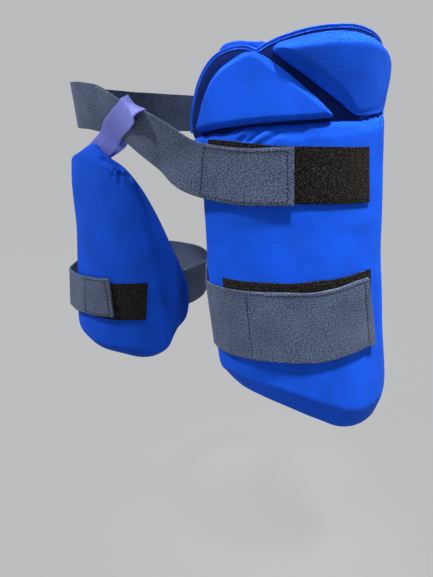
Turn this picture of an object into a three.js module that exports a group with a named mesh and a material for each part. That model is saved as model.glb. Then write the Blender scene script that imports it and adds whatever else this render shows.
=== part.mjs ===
// A cricket thigh guard set in its worn form: an outer guard with a hip flap for the left thigh,
// a smaller inner guard for the right thigh, one waist belt, two thigh straps and a webbing hanger.
// Millimetres, +Z up. The wearer faces -Y, the wearer's left is +X.
// The origin is the centre of the waist.
import * as THREE from "three";

// Clearances
const seatGap = 0.3; // between two pieces that touch
const layGap = 0.55; // between a strap and what it lies on, with the dip of its own facets
const facetSag = 0.5; // the most that a flat facet dips below a curved face

// Outer guard, lower pad
const outerFaceRadius = 122;
const outerPadThickness = 22;
const outerRimThickness = 10;
const outerHalfArc = 110; // half the pad's width, measured along its face
const outerPadHeight = 326;
const outerBevelWidth = 30; // the widest stretch of the bevel along the bottom
const outerTurn = 20; // degrees from straight ahead towards the wearer's left
const leanHeading = 20; // degrees from +X towards +Y: the way that both guards' axes lean
const outerLean = 0.123; // sideways shift for each millimetre down
const outerCentreX = 97;
const outerCentreY = 1;
const leanLevel = -100; // the height at which the outer guard's axis has its stated centre

// Seam between the lower pad and the hip flap
const seamLevel = 9.5;
const seamSlope = 8.5; // rise from the middle of the seam to its outer end
const seamCrown = 4;
const seamBandHeight = 5.4;
const seamBandThickness = 9;
const seamGathers = 14;
const gatherDepth = 0.8;

// Hip flap
const flapRise = 80; // from the seam to the top of the rim
const flapHalfAngle = 60;
const flangeStep = 8; // the flange's face lies this far inside the lower pad's face
const flangeThickness = 6;
const blockHeight = 9.5;
const blockRimHeight = 3;
const blockBevel = 10; // the widest bevel on a block
const bindingWidth = 5;
const bindingThickness = 7;
const bindingEase = 0.5; // more room for the binding at the notch

// Inner guard
const innerFaceRadius = 98;
const innerPadThickness = 13;
const innerRimThickness = 5;
const innerHalfAngle = 52;
const innerPadHeight = 260;
const innerTopLevel = -10;
const innerBevelWidth = 16;
const innerTurn = 10;
const innerLean = -0.09;
const innerCentreX = -89;
const innerCentreY = 4;
const innerLeanLevel = -150;
const pinchDepth = 4;
const pinchReach = 9;

// Straps, patches and webbing
const elasticThickness = 2.5;
const patchThickness = 2;
const beltWidth = 50;
const beltPatchWidth = 50;
const beltLevel = -33; // the belt's middle where it lies on the outer guard
const beltEndAngle = -2.3;
const beltEndTuck = 10; // degrees of belt sewn inside the outer guard's edge
const hipRadius = 181;
const hipRise = 34; // the belt's middle at the wearer's right hip
const beltLeaveAngle = -28; // where the belt leaves the outer guard's face
const thighStrapWidth = 77;
const thighStrapLevel = -180;
const thighPatchWidth = 50;
const innerStrapWidth = 49;
const innerStrapLevel = -185;
const innerPatchWidth = 47;
const webbingWidth = 25;
const webbingThickness = 1.6;
const webbingReach = 12; // webbing sewn behind the inner guard's top edge
const webbingClearance = 2.55;
const webbingFoldRise = 5.4; // from the belt's upper edge to the middle of the fold
const webbingBow = 2; // how far the flat webbing stands off the guard's round back at its edges
const webbingFootAngle = -34;
const webbingFootSwing = 5; // degrees that the sewn end swings outwards
const webbingFootDrop = 8; // below the inner guard's highest point
const hangerReach = 178; // along the belt from its free end to the webbing's fold
const hangerSlant = 54; // along the belt from the fold to where the webbing leaves the lower edge

// Steps of the long sweeps
const beltSteps = 96;
const webbingSteps = 56;

const DEGREES = Math.PI / 180;

// Finishes
const finishes = {
  pad: { color: 0x0b41c9, roughness: 0.85, metalness: 0 },
  binding: { color: 0x0a2f9e, roughness: 0.7, metalness: 0 },
  elastic: { color: 0x3a4663, roughness: 0.95, metalness: 0 },
  loop: { color: 0x15130f, roughness: 1, metalness: 0 },
  webbing: { color: 0x4b4c9c, roughness: 0.6, metalness: 0 },
};

// A guard's bent form: level circular sections about an axis that leans sideways.
function bentForm({ centreX, centreY, level, lean, turn, faceRadius }) {
  const leanX = Math.cos(leanHeading * DEGREES);
  const leanY = Math.sin(leanHeading * DEGREES);
  function atAngle(angle, height, radius) {
    const shift = lean * (level - height);
    const bearing = (turn + angle) * DEGREES;
    return new THREE.Vector3(
      centreX + shift * leanX + radius * Math.sin(bearing),
      centreY + shift * leanY - radius * Math.cos(bearing),
      height,
    );
  }
  function atArc(arc, height, radius) {
    return atAngle(arc / faceRadius / DEGREES, height, radius);
  }
  return { atAngle, atArc, faceRadius };
}

const outerForm = bentForm({
  centreX: outerCentreX,
  centreY: outerCentreY,
  level: leanLevel,
  lean: outerLean,
  turn: outerTurn,
  faceRadius: outerFaceRadius,
});

const innerForm = bentForm({
  centreX: innerCentreX,
  centreY: innerCentreY,
  level: innerLeanLevel,
  lean: innerLean,
  turn: innerTurn,
  faceRadius: innerFaceRadius,
});

// A closed mesh from vertices and faces, turned so that its faces point out.
function closedGeometry(vertices, faces) {
  let volume = 0;
  for (const [a, b, c] of faces) {
    volume += vertices[a].dot(new THREE.Vector3().crossVectors(vertices[b], vertices[c]));
  }
  const outward = volume < 0 ? faces.map(([a, b, c]) => [a, c, b]) : faces;
  const geometry = new THREE.BufferGeometry().setFromPoints(vertices);
  geometry.setIndex(outward.flat());
  geometry.computeVertexNormals();
  return geometry;
}

// Points on a closed smooth outline through the rows, each with its arc, height and bevel.
function smoothOutline(rows, count) {
  const points = rows.map(({ arc, height, bevel }) => new THREE.Vector3(arc, height, bevel));
  const curve = new THREE.CatmullRomCurve3(points, true, "centripetal");
  return curve
    .getSpacedPoints(count)
    .slice(0, count)
    .map((point) => ({ arc: point.x, height: point.y, bevel: point.z }));
}

// The unit vector that points into the outline at one of its points.
function inwardAt(outline, index, middle) {
  const count = outline.length;
  const before = outline[(index + count - 1) % count];
  const after = outline[(index + 1) % count];
  const normal = new THREE.Vector2(before.height - after.height, after.arc - before.arc).normalize();
  const toMiddle = new THREE.Vector2(middle.arc - outline[index].arc, middle.height - outline[index].height);
  return normal.dot(toMiddle) < 0 ? normal.negate() : normal;
}

const panelRings = [
  { inset: 0, toMiddle: 0, fill: 0 },
  { inset: 0.4, toMiddle: 0, fill: 0.6 },
  { inset: 1, toMiddle: 0, fill: 0.96 },
  { inset: 1, toMiddle: 0.2, fill: 1 },
  { inset: 1, toMiddle: 0.4, fill: 1 },
  { inset: 1, toMiddle: 0.6, fill: 1 },
  { inset: 1, toMiddle: 0.8, fill: 1 },
];

// A padded panel on a bent form: a rim, a bevelled edge, an even face and a hollow back.
// Its rings close in on an upright spine through the middle.
function paddedPanel({ form, outline, middle, backRadius, rimThickness, thickness, dent = () => 0 }) {
  const count = outline.length;
  const spineAt = (height) =>
    THREE.MathUtils.clamp(height, middle.height - middle.spine, middle.height + middle.spine);
  const vertices = [];
  const faces = [];
  for (const side of ["face", "back"]) {
    for (const { inset, toMiddle, fill } of panelRings) {
      outline.forEach((point, index) => {
        const inward = inwardAt(outline, index, middle);
        const edgeArc = point.arc + inward.x * point.bevel * inset;
        const edgeHeight = point.height + inward.y * point.bevel * inset;
        const arc = THREE.MathUtils.lerp(edgeArc, middle.arc, toMiddle);
        const height = THREE.MathUtils.lerp(edgeHeight, spineAt(edgeHeight), toMiddle);
        const depth = rimThickness + (thickness - rimThickness) * fill - dent(arc, height);
        vertices.push(form.atArc(arc, height, side === "face" ? backRadius + depth : backRadius));
      });
    }
    const poleRadius = side === "face" ? backRadius + thickness : backRadius;
    vertices.push(form.atArc(middle.arc, middle.height, poleRadius));
  }
  const rings = panelRings.length;
  const sideSize = rings * count + 1;
  for (let index = 0; index < count; index += 1) {
    const next = (index + 1) % count;
    for (let ring = 0; ring < rings - 1; ring += 1) {
      const [a, b] = [ring * count + index, ring * count + next];
      const [c, d] = [a + count, b + count];
      faces.push([a, b, c], [b, d, c]);
      faces.push([a + sideSize, c + sideSize, b + sideSize], [b + sideSize, c + sideSize, d + sideSize]);
    }
    const [last, lastNext, pole] = [(rings - 1) * count + index, (rings - 1) * count + next, rings * count];
    faces.push([last, lastNext, pole]);
    faces.push([last + sideSize, pole + sideSize, lastNext + sideSize]);
    faces.push([index, index + sideSize, next], [next, index + sideSize, next + sideSize]);
  }
  return closedGeometry(vertices, faces);
}

// A solid swept along stations; each station has its place, its two section axes and its own scale.
function sweptSolid(stations, section) {
  const vertices = [];
  const faces = [];
  const count = section.length;
  for (const { at, across, out, scale = 1 } of stations) {
    for (const [a, b] of section) {
      vertices.push(at.clone().addScaledVector(across, a * scale).addScaledVector(out, b * scale));
    }
  }
  for (let station = 0; station < stations.length - 1; station += 1) {
    for (let corner = 0; corner < count; corner += 1) {
      const a = station * count + corner;
      const b = station * count + ((corner + 1) % count);
      faces.push([a, b, a + count], [b, b + count, a + count]);
    }
  }
  const last = (stations.length - 1) * count;
  for (let corner = 1; corner < count - 1; corner += 1) {
    faces.push([0, corner + 1, corner]);
    faces.push([last, last + corner, last + corner + 1]);
  }
  return closedGeometry(vertices, faces);
}

// The flat section of a strap.
function strapSection(width, thickness) {
  const [w, t] = [width / 2, thickness / 2];
  return [
    [-w, -t],
    [w, -t],
    [w, t],
    [-w, t],
  ];
}

// A rolled section: four flats and four cut corners.
function rolledSection(width, thickness) {
  const [w, t] = [width / 2, thickness / 2];
  return [
    [-w, -t / 2],
    [-w / 2, -t],
    [w / 2, -t],
    [w, -t / 2],
    [w, t / 2],
    [w / 2, t],
    [-w / 2, t],
    [-w, t / 2],
  ];
}

// A station of a strap that lies on a bent form.
function formStation(form, angle, height, radius) {
  const at = form.atAngle(angle, height, radius);
  const across = form.atAngle(angle, height + 1, radius).sub(at).normalize();
  const out = form.atAngle(angle, height, radius + 1).sub(at).normalize();
  return { at, across, out };
}

// A value read between the rows of a table, by the named column.
function between(rows, key, column, at) {
  const after = rows.findIndex((row) => row[key] >= at);
  if (after <= 0) return rows[after === 0 ? 0 : rows.length - 1][column];
  const [low, high] = [rows[after - 1], rows[after]];
  const share = (at - low[key]) / (high[key] - low[key]);
  return THREE.MathUtils.lerp(low[column], high[column], THREE.MathUtils.smoothstep(share, 0, 1));
}

// Strap stations round a bent form, at even angles between the table's first and last row.
// Each row's rise is a share of the strap's width.
function strapRound({ form, rows, level, width, step }) {
  const first = rows[0].angle;
  const last = rows[rows.length - 1].angle;
  const steps = Math.ceil((last - first) / step);
  return Array.from({ length: steps + 1 }, (_, index) => {
    const angle = first + ((last - first) * index) / steps;
    const height = level + width * between(rows, "angle", "rise", angle);
    return formStation(form, angle, height, between(rows, "angle", "radius", angle));
  });
}

// A patch that lies on a bent form.
function patchOn({ form, rows, level, radius, width }) {
  const placed = rows.map(({ angle, rise }) => ({ angle, rise, radius }));
  const stations = strapRound({ form, rows: placed, level, width, step: 4 });
  return sweptSolid(stations, strapSection(width, patchThickness));
}

const model = new THREE.Group();

function addPiece(name, geometry, finish) {
  const mesh = new THREE.Mesh(geometry, new THREE.MeshStandardMaterial(finishes[finish]));
  mesh.name = name;
  model.add(mesh);
}

// The seam's height at a share of the pad's half width
function seamAt(share) {
  return seamLevel + seamSlope * share - seamCrown * share * share;
}

const seamClearance = seamBandHeight / 2 + seatGap;

// Lower pad
const padSideRows = [
  { across: 1.015, down: 0.03, bevel: 0.35 },
  { across: 1.005, down: 0.145, bevel: 0.4 },
  { across: 0.99, down: 0.345, bevel: 0.4 },
  { across: 1.01, down: 0.517, bevel: 0.4 },
  { across: 1.05, down: 0.668, bevel: 0.4 },
  { across: 1.145, down: 0.842, bevel: 0.5 },
  { across: 1.14, down: 0.905, bevel: 0.6 },
  { across: 1.08, down: 0.955, bevel: 0.68 },
  { across: 0.985, down: 0.988, bevel: 0.7 },
  { across: 0.81, down: 1, bevel: 0.76 },
  { across: 0.546, down: 1, bevel: 0.86 },
  { across: 0.304, down: 0.983, bevel: 1 },
  { across: 0.074, down: 0.945, bevel: 0.97 },
  { across: -0.22, down: 0.904, bevel: 0.85 },
  { across: -0.517, down: 0.879, bevel: 0.75 },
  { across: -0.825, down: 0.86, bevel: 0.6 },
  { across: -1.035, down: 0.833, bevel: 0.45 },
  { across: -1.1, down: 0.79, bevel: 0.4 },
  { across: -1.105, down: 0.675, bevel: 0.4 },
  { across: -1.1, down: 0.558, bevel: 0.4 },
  { across: -1.09, down: 0.414, bevel: 0.4 },
  { across: -1.06, down: 0.347, bevel: 0.4 },
  { across: -1.01, down: 0.2, bevel: 0.38 },
  { across: -1.02, down: 0.06, bevel: 0.35 },
];
const seamFrontShare = -1.01;
const seamOuterShare = 0.99;
const frontRimShare = 1.07; // where the straps turn round the pad's front edge
const outerRimShare = 1.0; // the pad's outer edge behind the belt
const padTopBevel = 0.3;
const padMiddleDown = 0.46;
const padSpineShare = 0.32;

function padOutline() {
  const topPoints = 9;
  const rows = [];
  for (let index = 0; index < topPoints; index += 1) {
    const share = THREE.MathUtils.lerp(seamFrontShare, seamOuterShare, index / (topPoints - 1));
    rows.push({
      arc: share * outerHalfArc,
      height: seamAt(share) - seamClearance,
      bevel: padTopBevel * outerBevelWidth,
    });
  }
  for (const { across, down, bevel } of padSideRows) {
    rows.push({
      arc: across * outerHalfArc,
      height: seamLevel - down * outerPadHeight,
      bevel: bevel * outerBevelWidth,
    });
  }
  const underSeam = (arc) => seamAt(arc / outerHalfArc) - seamClearance;
  return smoothOutline(rows, 60).map((point) => ({
    ...point,
    height: Math.min(point.height, underSeam(point.arc)),
  }));
}

const outerBackRadius = outerFaceRadius - outerPadThickness;

addPiece(
  "thigh_pad",
  paddedPanel({
    form: outerForm,
    outline: padOutline(),
    middle: {
      arc: 0,
      height: seamLevel - padMiddleDown * outerPadHeight,
      spine: padSpineShare * outerPadHeight,
    },
    backRadius: outerBackRadius,
    rimThickness: outerRimThickness,
    thickness: outerPadThickness,
  }),
  "pad",
);

// Seam band, gathered
function seamBand() {
  const steps = 56;
  const radius = outerBackRadius + outerRimThickness;
  const stations = Array.from({ length: steps + 1 }, (_, index) => {
    const share = THREE.MathUtils.lerp(seamFrontShare, seamOuterShare, index / steps);
    const angle = (share * outerHalfArc) / outerFaceRadius / DEGREES;
    const gather = 1 + Math.cos((index / steps) * seamGathers * 2 * Math.PI);
    const station = formStation(outerForm, angle, seamAt(share), radius);
    return { ...station, scale: 1 - (gather * gatherDepth) / seamBandThickness };
  });
  return sweptSolid(stations, rolledSection(seamBandHeight, seamBandThickness));
}

addPiece("seam_band", seamBand(), "pad");

// Hip flap: the rim runs from the front foot over two lobes that meet in a notch to the outer foot
const frontLobeRows = [
  { across: -0.905, up: -0.09 },
  { across: -0.9, up: 0 },
  { across: -0.861, up: 0.128 },
  { across: -0.808, up: 0.27 },
  { across: -0.733, up: 0.436 },
  { across: -0.641, up: 0.577 },
  { across: -0.549, up: 0.67 },
  { across: -0.449, up: 0.721 },
  { across: -0.364, up: 0.737 },
  { across: -0.286, up: 0.721 },
  { across: -0.235, up: 0.685 },
];
const rearLobeRows = [
  { across: -0.235, up: 0.685 },
  { across: -0.175, up: 0.733 },
  { across: -0.124, up: 0.769 },
  { across: -0.045, up: 0.809 },
  { across: 0.085, up: 0.865 },
  { across: 0.239, up: 0.909 },
  { across: 0.412, up: 0.94 },
  { across: 0.548, up: 0.95 },
  { across: 0.72, up: 0.93 },
  { across: 0.87, up: 0.88 },
  { across: 0.975, up: 0.77 },
  { across: 1.03, up: 0.6 },
  { across: 1.04, up: 0.43 },
  { across: 1.0, up: 0.25 },
  { across: 0.945, up: 0.13 },
];
const flangeFace = outerFaceRadius - flangeStep;
const flangeBack = flangeFace - flangeThickness;

function lobeRun(rows, count) {
  const points = rows.map(
    ({ across, up }) =>
      new THREE.Vector3(across * flapHalfAngle * DEGREES * outerFaceRadius, seamLevel + up * flapRise, 0),
  );
  return new THREE.CatmullRomCurve3(points, false, "centripetal").getSpacedPoints(count);
}

// The lowest height over the seam band at an arc
function overSeam(arc) {
  return seamAt(arc / outerHalfArc) + seamClearance;
}

function flapRim() {
  const front = lobeRun(frontLobeRows, 18);
  const rear = lobeRun(rearLobeRows, 24);
  return [...front, ...rear.slice(1)].map((point) => point.setY(Math.max(point.y, overSeam(point.x))));
}

function flapOutline() {
  const rim = flapRim();
  const [first, last] = [rim[0], rim[rim.length - 1]];
  const footPoints = 16;
  const foot = Array.from({ length: footPoints - 1 }, (_, index) => {
    const arc = THREE.MathUtils.lerp(last.x, first.x, (index + 1) / footPoints);
    return new THREE.Vector3(arc, overSeam(arc), 0);
  });
  return [...rim, ...foot].map((point) => ({ arc: point.x, height: point.y, bevel: flangeThickness }));
}

const flapMiddle = { arc: 0.02 * outerHalfArc, height: seamLevel + 0.4 * flapRise, spine: 0 };

addPiece(
  "hip_backing",
  paddedPanel({
    form: outerForm,
    outline: flapOutline(),
    middle: flapMiddle,
    backRadius: flangeBack,
    rimThickness: flangeThickness,
    thickness: flangeThickness,
  }),
  "pad",
);

// Two foam blocks on the flange, with a slanting groove between them
const frontBlockRows = [
  { across: -0.9, up: -0.02, bevel: 0.7 },
  { across: -0.63, up: 0.005, bevel: 0.6 },
  { across: -0.34, up: 0.045, bevel: 0.5 },
  { across: -0.02, up: 0.075, bevel: 0.4 },
  { across: 0.22, up: 0.09, bevel: 0.35 },
  { across: 0.325, up: 0.105, bevel: 0.3 },
  { across: 0.215, up: 0.242, bevel: 0.25 },
  { across: 0.104, up: 0.361, bevel: 0.25 },
  { across: -0.106, up: 0.572, bevel: 0.25 },
  { across: -0.235, up: 0.68, bevel: 0.3 },
  { across: -0.323, up: 0.705, bevel: 0.35 },
  { across: -0.382, up: 0.69, bevel: 0.35 },
  { across: -0.456, up: 0.65, bevel: 0.4 },
  { across: -0.574, up: 0.57, bevel: 0.4 },
  { across: -0.689, up: 0.45, bevel: 0.4 },
  { across: -0.77, up: 0.31, bevel: 0.4 },
  { across: -0.84, up: 0.13, bevel: 0.5 },
];
const rearBlockRows = [
  { across: 0.56, up: 0.12, bevel: 0.5 },
  { across: 0.75, up: 0.135, bevel: 0.5 },
  { across: 0.94, up: 0.195, bevel: 0.45 },
  { across: 1.04, up: 0.3, bevel: 0.4 },
  { across: 1.1, up: 0.52, bevel: 0.4 },
  { across: 1.075, up: 0.71, bevel: 0.5 },
  { across: 0.96, up: 0.825, bevel: 0.7 },
  { across: 0.785, up: 0.885, bevel: 0.9 },
  { across: 0.558, up: 0.91, bevel: 1 },
  { across: 0.356, up: 0.9, bevel: 1 },
  { across: 0.18, up: 0.865, bevel: 0.9 },
  { across: 0.015, up: 0.815, bevel: 0.7 },
  { across: -0.105, up: 0.77, bevel: 0.45 },
  { across: -0.135, up: 0.715, bevel: 0.4 },
  { across: -0.079, up: 0.645, bevel: 0.45 },
  { across: 0.056, up: 0.525, bevel: 0.7 },
  { across: 0.22, up: 0.38, bevel: 0.8 },
  { across: 0.404, up: 0.232, bevel: 0.8 },
];

function hipBlock(rows, middle) {
  const placed = rows.map(({ across, up, bevel }) => ({
    arc: across * outerHalfArc,
    height: seamLevel + up * flapRise,
    bevel: bevel * blockBevel,
  }));
  return paddedPanel({
    form: outerForm,
    outline: smoothOutline(placed, 40),
    middle: { arc: middle.across * outerHalfArc, height: seamLevel + middle.up * flapRise, spine: 0 },
    backRadius: flangeFace + seatGap + facetSag,
    rimThickness: blockRimHeight,
    thickness: blockHeight,
  });
}

addPiece("hip_block_front", hipBlock(frontBlockRows, { across: -0.4, up: 0.33 }), "pad");
addPiece("hip_block_rear", hipBlock(rearBlockRows, { across: 0.6, up: 0.57 }), "pad");

// Rolled binding round the flap's rim
function hipBinding() {
  const rim = flapRim();
  const radius = flangeFace - flangeThickness / 2 - seatGap;
  const offset = bindingWidth / 2 + seatGap + bindingEase;
  const outline = rim.map((point) => ({ arc: point.x, height: point.y }));
  const stations = outline.map((point, index) => {
    const before = outline[Math.max(index - 1, 0)];
    const after = outline[Math.min(index + 1, outline.length - 1)];
    const outward = new THREE.Vector2(before.height - after.height, after.arc - before.arc).normalize();
    const place = (shift) =>
      outerForm.atArc(point.arc + outward.x * shift, point.height + outward.y * shift, radius);
    const at = place(offset);
    const across = place(offset + 1).sub(at).normalize();
    const lifted = outerForm.atArc(point.arc, point.height, radius + 1);
    const out = lifted.sub(outerForm.atArc(point.arc, point.height, radius)).normalize();
    return { at, across, out };
  });
  return sweptSolid(stations, rolledSection(bindingWidth, bindingThickness));
}

addPiece("hip_binding", hipBinding(), "binding");

// Loop patches on the outer guard
const patchRadius = outerFaceRadius + layGap + patchThickness / 2;
const strapRadius = patchRadius + patchThickness / 2 + layGap + elasticThickness / 2;
const tuckRadius = outerBackRadius - facetSag - seatGap - elasticThickness / 2;

const waistPatch = {
  form: outerForm,
  rows: [
    { angle: -38.5, rise: 0.02 },
    { angle: 33.5, rise: -0.02 },
  ],
  level: beltLevel,
  radius: patchRadius,
  width: beltPatchWidth,
};
addPiece("waist_loop_patch", patchOn(waistPatch), "loop");

const thighPatch = {
  form: outerForm,
  rows: [
    { angle: -40, rise: 0.34 },
    { angle: 0, rise: 0.42 },
    { angle: 32, rise: 0.54 },
  ],
  level: thighStrapLevel,
  radius: patchRadius,
  width: thighPatchWidth,
};
addPiece("thigh_loop_patch", patchOn(thighPatch), "loop");

// Thigh strap: from its free end on the face, round the front edge and behind the thigh
const frontRimAngle = (frontRimShare * outerHalfArc) / outerFaceRadius / DEGREES;
const outerRimAngle = (outerRimShare * outerHalfArc) / outerFaceRadius / DEGREES;
const thighDepth = (share) => outerBackRadius + share * outerPadThickness;
const thighStrap = {
  form: outerForm,
  rows: [
    { angle: 48 - 360, rise: 0.026, radius: tuckRadius },
    { angle: 62 - 360, rise: 0.026, radius: thighDepth(-0.18) },
    { angle: -180, rise: 0.013, radius: thighDepth(-0.18) },
    { angle: -frontRimAngle - 42, rise: -0.039, radius: thighDepth(-0.14) },
    { angle: -frontRimAngle - 22, rise: -0.065, radius: thighDepth(0.09) },
    { angle: -frontRimAngle - 10, rise: -0.078, radius: thighDepth(0.55) },
    { angle: -frontRimAngle + 1, rise: -0.071, radius: thighDepth(1.07) },
    { angle: -frontRimAngle + 10, rise: -0.058, radius: strapRadius },
    { angle: 0, rise: 0.0065, radius: strapRadius },
    { angle: 33.5, rise: 0.143, radius: strapRadius },
  ],
  level: thighStrapLevel,
  width: thighStrapWidth,
  step: 5,
};
addPiece(
  "thigh_strap",
  sweptSolid(strapRound(thighStrap), strapSection(thighStrapWidth, elasticThickness)),
  "elastic",
);

// Waist belt: on the outer guard's face, across the front, round the hips and back inside the guard's edge
const beltRunRows = [
  { bearing: 11.5, reach: 0.667, level: -0.79, tip: 4 },
  { bearing: -1.5, reach: 0.616, level: -0.32, tip: 12 },
  { bearing: -21.6, reach: 0.602, level: 0.18, tip: 20 },
  { bearing: -35.5, reach: 0.618, level: 0.5, tip: 22 },
  { bearing: -48.7, reach: 0.662, level: 0.76, tip: 18 },
  { bearing: -73.3, reach: 0.865, level: 0.97, tip: 6 },
  { bearing: -96.3, reach: 1.0, level: 1.0, tip: 0 },
  { bearing: -121, reach: 0.967, level: 0.95, tip: 0 },
  { bearing: -148.8, reach: 0.853, level: 0.85, tip: 0 },
  { bearing: -180, reach: 0.802, level: 0.7, tip: 0 },
  { bearing: -211.2, reach: 0.853, level: 0.42, tip: 0 },
  { bearing: -239, reach: 0.964, level: 0, tip: 0 },
  { bearing: -262, reach: 1.004, level: -0.5, tip: -3 },
  { bearing: -273, reach: 1.024, level: -0.8, tip: -6 },
];

// The belt's middle line and, at each of its points, the direction from its lower to its upper edge
function beltLines() {
  const middle = [];
  const upward = [];
  const layOn = (angle, radius) => {
    const { at, across } = formStation(outerForm, angle, beltLevel, radius);
    middle.push(at);
    upward.push(across);
  };
  for (let index = 0; index <= 4; index += 1) {
    layOn(THREE.MathUtils.lerp(beltEndAngle, beltLeaveAngle, index / 4), strapRadius);
  }
  for (const { bearing, reach, level, tip } of beltRunRows) {
    const away = new THREE.Vector3(Math.sin(bearing * DEGREES), -Math.cos(bearing * DEGREES), 0);
    middle.push(away.clone().multiplyScalar(reach * hipRadius).setZ(level * hipRise));
    const upright = new THREE.Vector3(0, 0, Math.cos(tip * DEGREES));
    upward.push(upright.addScaledVector(away, Math.sin(tip * DEGREES)));
  }
  for (const tuck of [0, beltEndTuck / 2, beltEndTuck]) layOn(outerRimAngle - 3 - tuck, tuckRadius);
  return {
    middle: new THREE.CatmullRomCurve3(middle, false, "centripetal"),
    upward: new THREE.CatmullRomCurve3(upward, false, "centripetal"),
  };
}

const belt = beltLines();

// A station of the belt at a share of its length from the free end
function beltStation(share) {
  const at = belt.middle.getPointAt(share);
  const along = belt.middle.getTangentAt(share);
  const wanted = belt.upward.getPoint(belt.middle.getUtoTmapping(share));
  const across = wanted.addScaledVector(along, -wanted.dot(along)).normalize();
  return { at, across, out: new THREE.Vector3().crossVectors(across, along).normalize() };
}

function waistBelt() {
  const stations = Array.from({ length: beltSteps + 1 }, (_, index) => beltStation(index / beltSteps));
  return sweptSolid(stations, strapSection(beltWidth, elasticThickness));
}

addPiece("waist_belt", waistBelt(), "elastic");

// Inner guard
const innerOutlineRows = [
  { across: -1.11, down: 0.05, bevel: 0.4 },
  { across: -0.87, down: 0.018, bevel: 0.4 },
  { across: -0.583, down: 0, bevel: 0.4 },
  { across: -0.408, down: 0.023, bevel: 0.4 },
  { across: -0.259, down: 0.05, bevel: 0.4 },
  { across: -0.064, down: 0.09, bevel: 0.4 },
  { across: 0.19, down: 0.178, bevel: 0.4 },
  { across: 0.385, down: 0.275, bevel: 0.4 },
  { across: 0.54, down: 0.38, bevel: 0.4 },
  { across: 0.635, down: 0.45, bevel: 0.45 },
  { across: 0.77, down: 0.527, bevel: 0.6 },
  { across: 0.94, down: 0.64, bevel: 0.85 },
  { across: 1.01, down: 0.72, bevel: 1 },
  { across: 0.985, down: 0.77, bevel: 1 },
  { across: 0.9, down: 0.87, bevel: 0.9 },
  { across: 0.8, down: 0.945, bevel: 0.8 },
  { across: 0.615, down: 0.985, bevel: 0.75 },
  { across: 0.4, down: 1, bevel: 0.75 },
  { across: 0.12, down: 0.998, bevel: 0.75 },
  { across: -0.191, down: 0.992, bevel: 0.7 },
  { across: -0.445, down: 0.984, bevel: 0.65 },
  { across: -0.636, down: 0.96, bevel: 0.6 },
  { across: -0.954, down: 0.918, bevel: 0.5 },
  { across: -1.06, down: 0.86, bevel: 0.4 },
  { across: -1.075, down: 0.76, bevel: 0.4 },
  { across: -1.06, down: 0.54, bevel: 0.4 },
  { across: -1.08, down: 0.34, bevel: 0.4 },
  { across: -1.13, down: 0.16, bevel: 0.4 },
];
const innerBackRadius = innerFaceRadius - innerPadThickness;
const innerArc = innerHalfAngle * DEGREES * innerFaceRadius;
const innerMiddle = { across: -0.1, down: 0.58, spine: 0.22 };
const pinch = { across: -0.08, down: 0.145 };

function innerPad() {
  const rows = innerOutlineRows.map(({ across, down, bevel }) => ({
    arc: across * innerArc,
    height: innerTopLevel - down * innerPadHeight,
    bevel: bevel * innerBevelWidth,
  }));
  const pinchArc = pinch.across * innerArc;
  const pinchHeight = innerTopLevel - pinch.down * innerPadHeight;
  return paddedPanel({
    form: innerForm,
    outline: smoothOutline(rows, 60),
    middle: {
      arc: innerMiddle.across * innerArc,
      height: innerTopLevel - innerMiddle.down * innerPadHeight,
      spine: innerMiddle.spine * innerPadHeight,
    },
    backRadius: innerBackRadius,
    rimThickness: innerRimThickness,
    thickness: innerPadThickness,
    dent: (arc, height) =>
      pinchDepth * Math.exp(-((arc - pinchArc) ** 2 + (height - pinchHeight) ** 2) / pinchReach ** 2),
  });
}

addPiece("inner_pad", innerPad(), "pad");

const innerPatchRadius = innerFaceRadius + layGap + patchThickness / 2;
const innerStrapRadius = innerPatchRadius + patchThickness / 2 + layGap + elasticThickness / 2;
const innerTuckRadius = innerBackRadius - facetSag - seatGap - elasticThickness / 2;

const innerPatch = {
  form: innerForm,
  rows: [
    { angle: -30, rise: -0.106 },
    { angle: 17, rise: -0.085 },
  ],
  level: innerStrapLevel,
  radius: innerPatchRadius,
  width: innerPatchWidth,
};
addPiece("inner_loop_patch", patchOn(innerPatch), "loop");

// Inner strap: it bulges off the guard's outer edge on its way behind the thigh
const innerDepth = (share) => innerBackRadius + share * innerPadThickness;
const innerStrap = {
  form: innerForm,
  rows: [
    { angle: 40 - 360, rise: 0.04, radius: innerTuckRadius },
    { angle: 54 - 360, rise: 0.04, radius: innerDepth(-0.23) },
    { angle: -180, rise: 0.08, radius: innerDepth(-0.23) },
    { angle: -innerHalfAngle - 40, rise: -0.02, radius: innerDepth(0.08) },
    { angle: -innerHalfAngle - 22, rise: -0.08, radius: innerDepth(1.14) },
    { angle: -innerHalfAngle - 9, rise: -0.1, radius: innerDepth(1.53) },
    { angle: -innerHalfAngle + 6, rise: -0.08, radius: innerDepth(1.41) },
    { angle: -25, rise: -0.02, radius: innerStrapRadius },
    { angle: -8, rise: 0.02, radius: innerStrapRadius },
  ],
  level: innerStrapLevel,
  width: innerStrapWidth,
  step: 5,
};
addPiece(
  "inner_strap",
  sweptSolid(strapRound(innerStrap), strapSection(innerStrapWidth, elasticThickness)),
  "elastic",
);

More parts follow.
